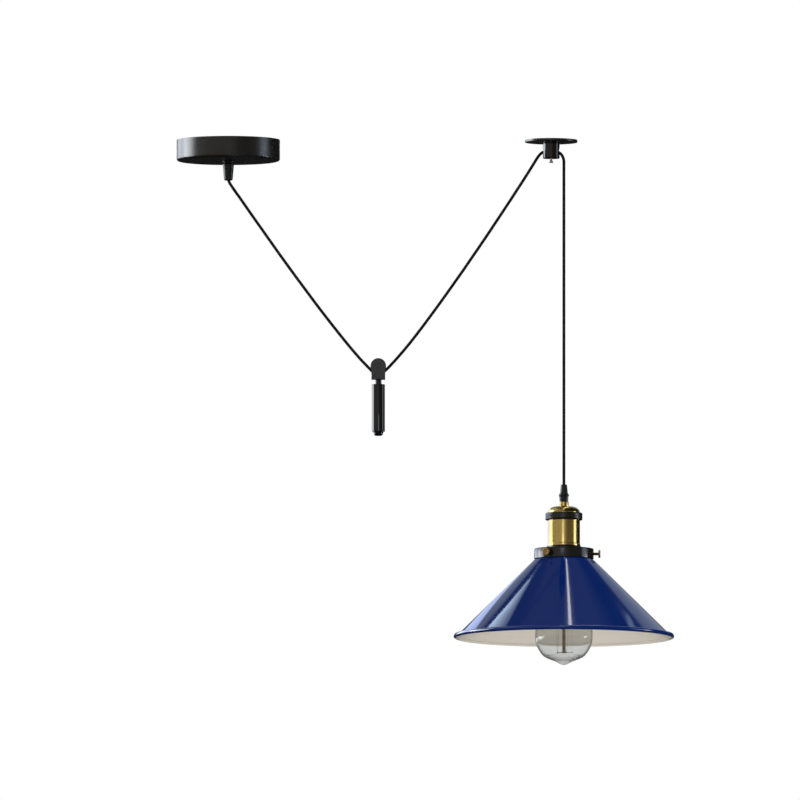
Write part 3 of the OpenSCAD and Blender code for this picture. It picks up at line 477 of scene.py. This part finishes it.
hang("rose_leg_cord", ROSE_LEG,
     "cord_rose_leg")
hang("guide_leg_cord", GUIDE_LEG,
     "cord_guide_leg")
hang("guide_arch_cord", ARCH,
     "cord_guide_arch")
hang("lamp_drop_cord", DROP,
     "cord_lamp_drop")


# ---- Rose ----

def make_rose():
    """The shell, with a hole at each side for its screws."""
    hole_r, hole_z, past_side = 2.05, -8, 65
    shell = turn("rose_shell", rounded([
        (61, 0, 0.15), (61, -25, 3.2), (4.05, -25), (4.05, -24), (60, -24, 2.2),
        (60, 0, 0.15)], 8), "rose_paint", 192)
    cut(shell, drill(hole_r, 2 * past_side, at(-past_side, hole_z) @ TO_X))
    stand(shell, "ceiling", "rose_cup")


make_rose()
rose_grip = turn("rose_grip", rounded([
    (4.05, -25), (6.9, -25, 0.3), (6.9, -26.2, 0.4), (6.0, -26.7, 0.4), (6.0, -27.6, 0.5),
    (6.8, -28.4, 0.5), (5.2, -46.8, 0.6), (4.4, -47.8, 0.4), (3.0, -47.8, 0.3), (2.0, -43.8),
    (2.0, -37.2), (4.05, -37.2)]), "grip_plastic", 72)
stand(rose_grip, "ceiling", "rose_cord_grip")


# ---- Guide ----

def make_guide_disc():
    """The plate, with two countersunk holes."""
    hole_y, hole_r, head_r, head_depth = 22, 2.2, 4.4, 1.61
    disc = turn("guide_disc", rounded([(0, 0), (31, 0, 0.3), (31, -3, 0.8), (0, -3)]),
                "rose_paint", 160, at(GUIDE_X))
    cut(disc, *[tool for y in (-hole_y, hole_y) for tool in (
        drill(hole_r, 5, at(GUIDE_X, -4, y)),
        drill(head_r, head_depth, at(GUIDE_X, -3.01, y), hole_r))])
    stand(disc, "ceiling", "guide_plate")


def make_guide_barrel():
    """The body, with a cross hole for the bushes that widens at both mouths."""
    hole_z, hole_r, past_side = -13.8, 3.55, 12
    throat_r, mouth_r, mouth_length, left, right = 3.5, 5.3, 2.6, -11, 8.4
    barrel = turn("guide_barrel", rounded([
        (0, -3), (10, -3), (10, -22, 1.2), (1.55, -22, 0.2), (1.55, -17.5), (0, -17.5)]),
        "black_steel", 96, at(GUIDE_X))
    cut(barrel,
        drill(hole_r, 2 * past_side, at(GUIDE_X - past_side, hole_z) @ TO_X),
        drill(mouth_r, mouth_length, at(GUIDE_X + left, hole_z) @ TO_X, throat_r),
        drill(throat_r, mouth_length, at(GUIDE_X + right, hole_z) @ TO_X, mouth_r))
    stand(barrel, "ceiling", "guide_body")


def make_clamp_screw():
    shank_r, top, foot, pitch, depth = 1.5, -18.55, -22.6, 0.5, 0.16
    head = rounded([(shank_r, foot), (1.1, -22.8), (1.1, -23.5), (2.7, -26.2, 0.3),
                    (2.6, -26.9, 0.2), (2.1, -27.2), (0, -27.2)])[1:]
    clamp = turn("clamp_thumb_screw", [(0, top)] + steps_between(shank_r, foot, top, pitch) + head,
                 "zinc_steel", 48, at(GUIDE_X), threaded(shank_r, pitch, depth, -22.4, -18.8),
                 [PALE_STEEL])
    stand(clamp, "clamp_screw", "clamp_screw")


make_guide_disc()
make_guide_barrel()
make_clamp_screw()


# ---- Counterweight ----

def make_block():
    """The block: a round head on a square foot, seen along Y, with a slot for the sheave."""
    head_r, foot_half, foot_z, half_depth, head_steps = 9.2, 8.15, -15.5, 8.0, 48
    bevel, rod_hole_r, axle_hole_r, past_side = 0.55, 2.55, 2.05, 15
    slot_half, slot_foot, past_slot = 3.1, -12, 20
    join = math.degrees(math.acos(foot_half / head_r))
    outline = [(foot_half, foot_z), (foot_half, -head_r * math.sin(math.radians(join)))]
    outline += [(head_r * math.cos(math.radians(a)), head_r * math.sin(math.radians(a)))
                for a in [(-join) + k * (180 + 2 * join) / head_steps
                          for k in range(1, head_steps)]]
    outline += [(-foot_half, outline[1][1]), (-foot_half, foot_z)]
    shape = bmesh.new()
    ring = [shape.verts.new(((WEIGHT_X + x) * MM, -half_depth * MM, (AXLE_Z + z) * MM))
            for x, z in outline]
    face = shape.faces.new(ring)
    moved = bmesh.ops.extrude_face_region(shape, geom=[face])
    bmesh.ops.translate(shape, vec=(0, 2 * half_depth * MM, 0),
                        verts=[g for g in moved["geom"] if isinstance(g, bmesh.types.BMVert)])
    bmesh.ops.recalc_face_normals(shape, faces=shape.faces)
    crisp = [e for e in shape.edges if e.calc_face_angle(0) > math.radians(30)]
    bmesh.ops.bevel(shape, geom=crisp, offset=bevel * MM, segments=3, profile=0.7,
                    affect="EDGES")
    mesh = bpy.data.meshes.new("block_body")
    shape.to_mesh(mesh)
    shape.free()
    mesh.materials.append(LOOKS["block_paint"])
    piece = bpy.data.objects.new("block_body", mesh)
    link(piece)
    slot_tool = add_mesh("slot_tool", [
        ((WEIGHT_X + x) * MM, y * MM, (AXLE_Z + z) * MM)
        for x in (-past_slot, past_slot) for y in (-slot_half, slot_half)
        for z in (slot_foot, past_slot)],
        [(0, 1, 3, 2), (4, 6, 7, 5), (0, 4, 5, 1), (2, 3, 7, 6), (0, 2, 6, 4), (1, 5, 7, 3)],
        None, looks=[LOOKS["block_paint"]])
    cut(piece, slot_tool,
        drill(axle_hole_r, 2 * past_side, at(WEIGHT_X, AXLE_Z, -past_side) @ TO_Y),
        drill(rod_hole_r, 6, at(WEIGHT_X, AXLE_Z - 16.5)))
    stand(piece, "weight", "pulley_block")


def make_sheave():
    pitch_r, groove_r = 9.4, 2.1
    left = rounded([(2.05, -2.8, 0.1), (4, -2.8, 0.1), (4.4, -2.3, 0.3), (7, -2.3, 0.3),
                    (7.4, -2.8, 0.1), (8.8, -2.8, 0.1)])
    groove = [(pitch_r - groove_r * math.cos(math.radians(a)), groove_r * math.sin(math.radians(a)))
              for a in range(-75, 76, 10)]
    right = rounded([(8.8, 2.8, 0.1), (7.4, 2.8, 0.1), (7, 2.3, 0.3), (4.4, 2.3, 0.3),
                     (4, 2.8, 0.1), (2.05, 2.8, 0.1)])
    wheel = turn("sheave_wheel", left + groove + right, "zinc_steel", 96,
                 at(WEIGHT_X, AXLE_Z) @ TO_Y)
    stand(wheel, "sheave", "sheave")


make_block()
make_sheave()
axle = turn("axle_pin", rounded([
    (0, -8.45), (0.7, -8.45, 0.1), (0.9, -8.7, 0.1), (2.5, -8.7, 0.4), (2.85, -8.0),
    (2.0, -8.0), (2.0, 8.0), (2.85, 8.0), (2.5, 8.7, 0.4), (0.9, 8.7, 0.1), (0.7, 8.45, 0.1),
    (0, 8.45)]), "block_paint", 64, at(WEIGHT_X, AXLE_Z) @ TO_Y)
stand(axle, "weight", "sheave_axle")

stem = turn("weight_rod", [(0, -280.35), (2.5, -280.35), (2.5, -283.5)]
            + rounded([(2.5, -283.5), (3.8, -283.5, 0.5), (3.8, -289.3, 0.3), (2.5, -289.3)])[1:]
            + [(2.5, -348.1), (0, -348.1)], "weight_gloss", 64, at(WEIGHT_X))
stand(stem, "weight", "weight_stem")

bar = turn("weight_bar", rounded([
    (2.55, -289.3), (7.8, -289.3, 0.8), (7.8, -345.6, 0.9), (2.55, -345.6)]),
    "weight_gloss", 96, at(WEIGHT_X))
stand(bar, "weight", "counterweight")

nut = turn("weight_foot", rounded([
    (2.55, -345.6), (6.2, -345.6, 0.2), (6.2, -346.4, 0.2), (5.6, -346.8, 0.2),
    (5.5, -349, 1.2), (3.4, -350.5, 1.2), (0, -350.6), (0, -348.3), (2.55, -348.3)]),
    "weight_gloss", 72, at(WEIGHT_X))
stand(nut, "weight", "weight_end_nut")


# ---- Lampholder ----

lamp_grip = turn("lamp_grip", rounded([
    (2, -408, 0.2), (3.5, -408, 0.4), (3.8, -409, 0.3), (4.7, -418.4, 0.6), (6, -419.9, 0.4),
    (6, -421.3, 0.4), (5.4, -422.2, 0.5), (5.1, -428.5, 0.2), (4.05, -428.5), (4.05, -420.3),
    (2, -420.3)]), "grip_plastic", 72, at(LAMP_X))
stand(lamp_grip, "lamp", "lamp_cord_grip")

collar = turn("brass_collar", rounded([
    (4.05, -428.5), (5.6, -428.5, 0.4), (5.6, -434, 0.4), (4.05, -434)]),
    "aged_brass", 72, at(LAMP_X))
stand(collar, "lamp", "grip_collar")


def dome(skirt, top):
    """A side of the cap, from its flat top down to its skirt."""
    flat, foot = 9.5, -441.5
    return [(flat + (skirt - flat) * math.cos(math.radians(a)),
             foot + (top - foot) * math.sin(math.radians(a))) for a in range(90, -1, -5)]


cap = turn("brass_dome", [(4.05, -434)] + dome(18.9, -434) + [(18.9, -445), (18.1, -445)]
           + dome(18.1, -434.8)[::-1] + [(4.05, -434.8)], "aged_brass", 128, at(LAMP_X))
stand(cap, "lamp", "holder_cap")

ring = turn("black_ring", rounded([
    (19.05, -441.5, 0.3), (21.9, -441.5, 1.8), (21.9, -450.2, 1.8), (19.05, -450.2, 0.3)], 8),
    "ring_paint", 128, at(LAMP_X))
stand(ring, "lamp", "lock_ring")

body = turn("brass_body", rounded([
    (18, -445.3), (19, -445.3, 0.2), (19, -478, 0.3), (19.4, -478.4, 0.3), (19.4, -480.6, 0.3),
    (19, -481, 0.2), (18, -481)]), "aged_brass", 128, at(LAMP_X))
stand(body, "lamp", "holder_body")


# ---- Gallery and thumb screws ----

SCREWS = 3
SCREW_Z = -490.1


def screw_place(i):
    """On the lamp's axis, with local Z along thumb screw i, outwards."""
    return at(LAMP_X, SCREW_Z) @ Matrix.Rotation(math.tau * i / SCREWS, 4, "Z") @ TO_X


def make_gallery():
    hole_r, hole_from, hole_length = 1.8, 31, 8
    gallery = turn("gallery_cup", rounded([
        (17.1, -481), (20.4, -481, 0.3), (21.2, -483.8, 1.6), (35.2, -483.8, 1.7),
        (35.2, -495.8, 0.2), (34.4, -495.8, 0.2), (34.4, -484.6, 1.0), (17.1, -484.6)], 8),
        "gallery_paint", 160, at(LAMP_X))
    cut(gallery, *[drill(hole_r, hole_length, screw_place(i) @ at(0, hole_from))
                   for i in range(SCREWS)])
    stand(gallery, "lamp", "gallery")


def knurled(r, z, angle):
    """The knurl of a thumb screw's head, and the thread of its shank."""
    ribs, rib_depth, shank_r, pitch, depth, low, high = 36, 0.16, 1.75, 0.7, 0.2, 31.4, 40.2
    if r > 4.2 and 41.05 < z < 42.9:
        return r - rib_depth * (0.5 - 0.5 * math.cos(ribs * angle))
    if 1.6 < r < 2 and low < z < high:
        return threaded(shank_r, pitch, depth, low, high)(r, z, angle)
    return r


def make_thumb_screws():
    shank = steps_between(1.75, 31.5, 40.7, 0.7)[::-1]
    head = rounded([(2.3, 40.7), (4.3, 40.7, 0.2), (4.7, 41.1, 0.2), (4.7, 42.7, 0.2),
                    (4.3, 43.1, 0.2), (2.6, 43.1, 0.1), (2.4, 42.85, 0.1), (1.0, 42.85, 0.2),
                    (0, 42.95)])
    for i in range(SCREWS):
        # The screws take the darker brass copy, which paints shade on them.
        screw = turn(f"thumb_screw_{i + 1}_piece", [(0, 31.2), (1.4, 31.2)] + shank + head,
                     "aged_brass", 144, screw_place(i), knurled, [SHADED_SCREW_BRASS])
        stand(screw, f"thumb_screw_{i + 1}", f"thumb_screw_{i + 1}")


make_gallery()
make_thumb_screws()


# ---- Shade ----

def between(a, b, k, steps):
    return (a[0] + (b[0] - a[0]) * k / steps, a[1] + (b[1] - a[1]) * k / steps)


def make_shade():
    """The enamelled cone and its rolled rim: blue outside, white inside."""
    bead_r, bead_x, bead_z = 2.6, 127.8, -587.2
    from_angle, sweep, bead_steps, cone_steps, white_step = 146.4, 335.8, 40, 24, 27
    outside = [(30, -487.3), (32, -487.3), (32, -488.3), (31, -488.3), (31, -492.4),
               (31.4, -493.4)]
    bead = [(bead_x + bead_r * math.cos(math.radians(a)),
             bead_z + bead_r * math.sin(math.radians(a)))
            for a in [from_angle - k * sweep / bead_steps for k in range(bead_steps + 1)]]
    top, inner_top = outside[-1], (30, -493.3)
    outside += [between(top, bead[0], k, cone_steps) for k in range(1, cone_steps)]
    inside = [between(bead[-1], inner_top, k, cone_steps) for k in range(1, cone_steps + 1)]
    outline = outside + bead + inside
    white_from = len(outside) + white_step
    shade = turn("enamel_shade", outline, "shade_enamel", 256, at(LAMP_X),
                 looks=[LOOKS["shade_enamel"], INSIDE_ENAMEL],
                 paint_of=lambda i: int(white_from <= i < len(outline) - 1))
    stand(shade, "lamp", "shade")


make_shade()


# ---- Bulb ----

def glass_outline():
    """The pear, down its outside to the tip and up its inside."""
    neck_r, shoulder_r, wide_r, foot, centre, tip_z = 12.7, 13, 34.2, -492.8, -586.8, -621.6
    wall, kink, grown, tip_step, neck_steps, swell = 0.9, -608, 0.9, 0.8, 32, 1.15
    inner_least, apart, tip_wall = 1.2, 0.01, 0.15
    outer = [(neck_r, -487.6), (neck_r, -492.6)]
    for i in range(neck_steps + 1):
        u = i / neck_steps
        outer.append((shoulder_r + (wide_r - shoulder_r) * (1 - math.cos(math.pi * u ** swell)) / 2,
                      foot + u * (centre - foot)))
    outer += [(wide_r * math.cos(math.radians(a)), centre - wide_r * math.sin(math.radians(a)))
              for a in range(4, 41, 4)]
    tip = [(23.9, -611.1), (21.9, -612.4), (19.6, -613.6), (17.1, -614.7), (13.9, -615.9),
           (10.6, -617.1), (8.3, -618.3), (6.1, -619.5), (3.6, -620.7), (1.2, -621.5),
           (0, tip_z)]
    line, _ = smooth_line([outer[-1]] + tip, tip_step)
    outer += [(p.x, p.z) for p in line[1:-1] if p.x > 0.3]
    inner = []
    for i, here in enumerate(outer):
        ahead, behind = outer[min(i + 1, len(outer) - 1)], outer[max(i - 1, 0)]
        slope = (Vector(ahead) - Vector(behind)).normalized()
        thick = wall + grown * max(0, kink - here[1]) / (kink - tip_z)
        inside = Vector(here) + Vector((slope.y, -slope.x)) * thick
        if inside.x > inner_least and (not inner or inside.y < inner[-1][1] + apart):
            inner.append(tuple(inside))
    return outer + [(0, tip_z), (0, inner[-1][1] - tip_wall)] + inner[::-1]


glass = turn("bulb_envelope", glass_outline(), "smoky_glass", 128, at(LAMP_X), crease=50)
stand(glass, "bulb", "bulb_glass")


def make_bulb_cap():
    """The screw cap, whose inner face follows its thread."""
    outer_r, inner_r, inner_below, pitch, per_turn, foot = 13.2, 12.8, 12.7, 3.6, 14, -492.5
    thread = threaded(outer_r, pitch, 1.1, -491.5, -474.5)
    outline = [(10.2, -472.1), (12.2, -472.1), (12.9, -472.6)]
    outline += steps_between(outer_r, foot, -473.2, pitch, per_turn)
    outline += steps_between(inner_r, foot, -473.4, pitch, per_turn)[::-1]
    outline += [(12.0, -472.5), (10.2, -472.5)]
    screw_cap = turn("bulb_screw_cap", outline, "zinc_steel", 96, at(LAMP_X),
                     lambda r, z, a: r if r < inner_below else
                     r - (outer_r - thread(outer_r, z, a)))
    stand(screw_cap, "bulb", "bulb_cap")


make_bulb_cap()


def wire(points, radius):
    """Vertices and faces of a closed round wire along points in mm."""
    sides = 8
    points = [Vector(p) for p in points]
    verts, faces = [], []
    across = (points[1] - points[0]).orthogonal().normalized()
    for i, p in enumerate(points):
        ahead = (points[min(i + 1, len(points) - 1)] - points[max(i - 1, 0)]).normalized()
        across = (across - ahead * across.dot(ahead)).normalized()
        up = ahead.cross(across)
        for k in range(sides):
            angle = math.tau * k / sides
            verts.append(tuple((p + (across * math.cos(angle) + up * math.sin(angle)) * radius)
                               * MM))
    for i in range(len(points) - 1):
        for k in range(sides):
            n = (k + 1) % sides
            a, b = i * sides, (i + 1) * sides
            faces.append((a + k, a + n, b + n, b + k))
    faces.append(tuple(range(sides))[::-1])
    faces.append(tuple(range((len(points) - 1) * sides, len(points) * sides)))
    return verts, faces


HOOKS, HOOK_R, HOOK_HALF, HOOK_LOW, HOOK_HIGH = 10, 9.5, 0.6, -607.6, -523.5


def hook(k, side=0.0, out=0.0, lift=0.0):
    """A point near hook k of the filament, low and high in turn."""
    a = math.tau * k / HOOKS
    return (LAMP_X + (HOOK_R + out) * math.cos(a) - side * HOOK_HALF * math.sin(a),
            (HOOK_R + out) * math.sin(a) + side * HOOK_HALF * math.cos(a),
            (HOOK_HIGH if k % 2 else HOOK_LOW) + lift)


def make_arms():
    """Arms from the rod out to the hooks, each with a loop round the filament."""
    loop_r, arm_r = 0.42, 0.36
    verts, faces = [], []
    for k in range(HOOKS):
        loop = [hook(k, 0, -loop_r * math.cos(math.radians(a)), -loop_r * math.sin(math.radians(a)))
                for a in range(0, 271, 30)]
        more, sheets = wire([hook(k, 0, out) for out in (-8.3, -4.5, -0.8)] + loop, arm_r)
        faces += [tuple(i + len(verts) for i in f) for f in sheets]
        verts += more
    return add_mesh("bulb_arms", verts, faces, "filament_wire", SOFT_CREASE)


rod = turn("bulb_rod", rounded([
    (0, -513.5), (1.9, -513.5, 0.2), (1.9, -607, 0.1), (3.6, -607, 0.3), (3.6, -608.2, 0.3),
    (1.7, -608.2), (1.2, -608.6, 0.3), (0, -608.6)]), "bronze_rod", 48, at(LAMP_X))
stand(rod, "bulb", "bulb_support_rod")
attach(make_arms(), "bulb")
wires = add_mesh("bulb_wires", *wire([hook(k, side) for k in range(HOOKS) for side in (-1, 1)],
                                     0.09), "filament_wire", SOFT_CREASE)
stand(wires, "bulb", "bulb_filament")


# ---- CAD parts that stay ----

for row in frame["record"]["subparts"]:
    node = frame["nodes"][row["node"]]
    if not node.hide_render:
        node.data.materials.clear()
        node.data.materials.append(LOOKS[row["material_slot"]])


# ---- Studio ----

def make_floor():
    size, height = 8.0, -1.65
    mesh = bpy.data.meshes.new("floor")
    mesh.from_pydata([(-size, -size, height), (size, -size, height), (size, size, height),
                      (-size, size, height)], [], [(0, 1, 2, 3)])
    look = Look("floor", (0.86, 0.86, 0.86), 0.9)
    look.tint(look.noise(3), (0.85, 0.85, 0.85), (0.87, 0.87, 0.87))
    mesh.materials.append(look.material)
    floor = bpy.data.objects.new("floor", mesh)
    link(floor)
    floor.visible_glossy = False


def make_world():
    """White at strength 1 for the camera, gloss and glass, and a little less as a light."""
    ambient = 0.82
    world = bpy.data.worlds.new("studio")
    scene.world = world
    world.use_nodes = True
    nodes, links = world.node_tree.nodes, world.node_tree.links
    background = nodes["Background"]
    background.inputs["Color"].default_value = (1, 1, 1, 1)
    rays = nodes.new("ShaderNodeLightPath").outputs
    seen = rays["Is Camera Ray"]
    for name in ("Is Glossy Ray", "Is Transmission Ray"):
        either = nodes.new("ShaderNodeMath")
        either.operation = "MAXIMUM"
        links.new(seen, either.inputs[0])
        links.new(rays[name], either.inputs[1])
        seen = either.outputs[0]
    strength = nodes.new("ShaderNodeMapRange")
    strength.inputs["To Min"].default_value = ambient
    strength.inputs["To Max"].default_value = 1.0
    links.new(seen, strength.inputs["Value"])
    links.new(strength.outputs["Result"], background.inputs["Strength"])


# Patches of a far, dim room, which only gloss sees. Each row gives, in degrees, its middle,
# half width and softness round the object (0 towards the camera, 90 to its right), then the
# same up from eye level, then how bright it is and how cool (1) or warm (-1).
ROOM_LEVEL = 0.02
SOFT_CARDS = {
    "left_softbox": (-102, 15.5, 8, 12, 20, 6, 6.0, 0.2),
    "left_far_card": (-124, 27, 18, 11, 15, 8, 3.8, 0.5),
    "left_upper_card": (-95, 30, 24, 46, 12, 10, 0.65, 0),
    "front_card": (-33, 45, 30, 6, 10, 8, 0.45, -0.4),
    "front_upper_card": (-45, 45, 20, 38, 18, 10, 0.3, 0),
    "right_dim_card": (35, 35, 10, 6, 10, 8, 0.12, -0.8),
    "right_softbox": (87, 10, 10, 6, 10, 8, 2.3, 0.8),
    "back_upper_card": (178.5, 33.7, 4, 36, 22, 8, 0.38, 1),
    "ceiling_card": (0, 200, 1, 90, 26, 14, 0.1, 0),
}


def inside_card(offset, half, soft):
    """1 well inside a card, 0 well outside, and a smooth step at its edge."""
    t = min(1, max(0, (half - abs(offset)) / soft + 0.5))
    return t * t * (3 - 2 * t)


def room_color(turned, rise):
    red_drop, blue_gain = 0.15, 0.2
    color = [ROOM_LEVEL] * 3
    for middle, half, soft, up, tall, blur, level, cool in SOFT_CARDS.values():
        seen = (level * inside_card((turned - middle + 180) % 360 - 180, half, soft)
                * inside_card(rise - up, tall, blur))
        for k, tint in enumerate((1 - red_drop * cool, 1, 1 + blue_gain * cool)):
            color[k] += seen * tint
    return color + [1]


def make_card(name, verts, faces, colors):
    """A card that only gloss sees, with a colour for each corner."""
    mesh = bpy.data.meshes.new(name)
    mesh.from_pydata(verts, [], faces)
    mesh.color_attributes.new("level", "FLOAT_COLOR", "POINT").data.foreach_set("color", colors)
    material = bpy.data.materials.new(name)
    material.use_nodes = True
    nodes, links = material.node_tree.nodes, material.node_tree.links
    nodes.clear()
    level = nodes.new("ShaderNodeAttribute")
    level.attribute_name = "level"
    glow = nodes.new("ShaderNodeEmission")
    links.new(level.outputs["Color"], glow.inputs["Color"])
    output = nodes.new("ShaderNodeOutputMaterial")
    links.new(glow.outputs[0], output.inputs[0])
    material.cycles.emission_sampling = "NONE"
    mesh.materials.append(material)
    card = bpy.data.objects.new(name, mesh)
    link(card)
    for rays in ("camera", "diffuse", "transmission", "volume_scatter", "shadow"):
        setattr(card, "visible_" + rays, False)


def make_room():
    """Cards all round, with a gap at the back for the white backdrop."""
    middle_x, middle_z, far, turns, rises = 0.2, -0.3, 20.0, 180, 120
    gap_half, gap_low, gap_high = 14, 1, 9
    verts, colors, faces = [], [], []
    for j in range(rises + 1):
        rise = -90 + 180 * j / rises
        for i in range(turns):
            turned = -180 + 360 * i / turns
            a, e = math.radians(turned), math.radians(rise)
            verts.append((middle_x + far * math.sin(a) * math.cos(e),
                          -far * math.cos(a) * math.cos(e), middle_z + far * math.sin(e)))
            colors += room_color(turned, rise)
    for j in range(rises):
        for i in range(turns):
            turned, rise = -180 + 360 * (i + 0.5) / turns, -90 + 180 * (j + 0.5) / rises
            if abs(turned) > 180 - gap_half and gap_low < rise < gap_high:
                continue
            n = (i + 1) % turns
            a, b = j * turns, (j + 1) * turns
            faces.append((a + i, a + n, b + n, b + i))
    make_card("room_cards", verts, faces, colors)


def make_strip(name, line, columns, across=Vector((1, 0, 0))):
    """A long card along a line, whose columns give an offset across it and a colour."""
    verts = [tuple(Vector(p) + across * offset) for p in line for offset, _ in columns]
    count = len(columns)
    faces = [(i * count + k, i * count + k + 1, (i + 1) * count + k + 1, (i + 1) * count + k)
             for i in range(len(line) - 1) for k in range(count - 1)]
    make_card(name, verts, faces, [c for _ in line for _, color in columns for c in (*color, 1)])


def make_shade_cards():
    """Cards over the lamp: a wedge at each side of the shade and its stripe."""
    height = 1.2
    far, near = (3.3, 4.2, 5.2), (0.4, 0.48, 0.55)
    left = [(-0.9, 1.61, far), (-0.78, 1.39, far), (-0.635, 1.11, far),
            (-0.56, 0.91, near), (-0.533, 0.73, near), (-0.59, 0.53, near)]
    make_card("left_top_card", [(x, y, height) for x, y, _ in left],
              [(0, 1, 4, 5), (1, 2, 3, 4)], [c for _, _, color in left for c in (*color, 1)])
    right = [(1.57, 1.4), (1.44, 0.94), (1.48, 0.94)]
    make_card("right_top_card", [(x, y, height) for x, y in right], [(0, 1, 2)],
              [0.8, 1.05, 1.3, 1] * 3)
    bright, middling, dim = (5.5,) * 3, (0.5,) * 3, (0.1,) * 3
    make_strip("stripe_card", [(0.3, -1.2, height), (0.757, 1.7, height)],
               [(-0.11, dim), (-0.032, middling), (-0.02, bright), (0.018, bright),
                (0.03, middling), (0.11, dim)])


def make_brass_cards():
    """Upright cards in front of the lampholder and to its left, for its two soft lights."""
    cool = (2.4, 2.65, 3.1)
    make_strip("brass_card", [(0.291, -1.0, -0.406), (0.291, -1.0, -0.28)],
               [(-0.3, (0.5, 0.47, 0.44)), (-0.13, (0.75, 0.75, 0.75)), (-0.06, cool),
                (0.06, cool), (0.13, (0.6, 0.6, 0.6)), (0.3, (0.2, 0.17, 0.14))])
    make_strip("brass_side_card", [(0.093, 0.175, -0.452), (0.093, 0.175, -0.36)],
               [(-0.375, (0.6, 0.7, 0.9)), (-0.107, (1.2, 1.45, 2.3)),
                (-0.006, (1.45, 1.7, 2.8)), (0.074, (1.6, 1.85, 2.9)), (0.15, (1.8, 2.0, 2.5)),
                (0.2, (0.9, 0.95, 0.95)), (0.273, (0.2, 0.17, 0.14))],
               Vector((-0.5, -0.866, 0)))


def make_window_card():
    """A small bright card, level with the bulb and to its right."""
    x, y, z, half_y, half_z, level = 2.4, 0.24, -0.58, 0.19, 0.17, 12
    corners = [(x, y - half_y, z - half_z), (x, y + half_y, z - half_z),
               (x, y + half_y, z + half_z), (x, y - half_y, z + half_z)]
    make_card("window_card", corners, [(0, 1, 2, 3)], [level, level, level, 1] * 4)


def add_area(name, place, towards, size, radiance):
    data = bpy.data.lights.new(name, "AREA")
    data.shape = "RECTANGLE"
    data.size, data.size_y = size
    data.energy = radiance * math.pi * size[0] * size[1]
    lamp = bpy.data.objects.new(name, data)
    lamp.location = place
    lamp.rotation_mode = "QUATERNION"
    lamp.rotation_quaternion = (Vector(towards) - Vector(place)).to_track_quat("-Z", "Y")
    lamp.visible_camera = False
    lamp.visible_glossy = False
    link(lamp)


MIDDLE = (0.3, 0, -0.35)
make_floor()
make_world()
make_room()
make_shade_cards()
make_brass_cards()
make_window_card()
add_area("left_softbox", (-2.2, -1.2, 0.5), MIDDLE, (1.6, 2.2), 0.35)
add_area("right_softbox", (2.7, -1.0, 0.3), MIDDLE, (1.2, 2.2), 1.6)
add_area("front_softbox", (0.3, -2.9, 0.9), MIDDLE, (1.4, 1.4), 1.0)

scene.view_settings.view_transform = "Standard"
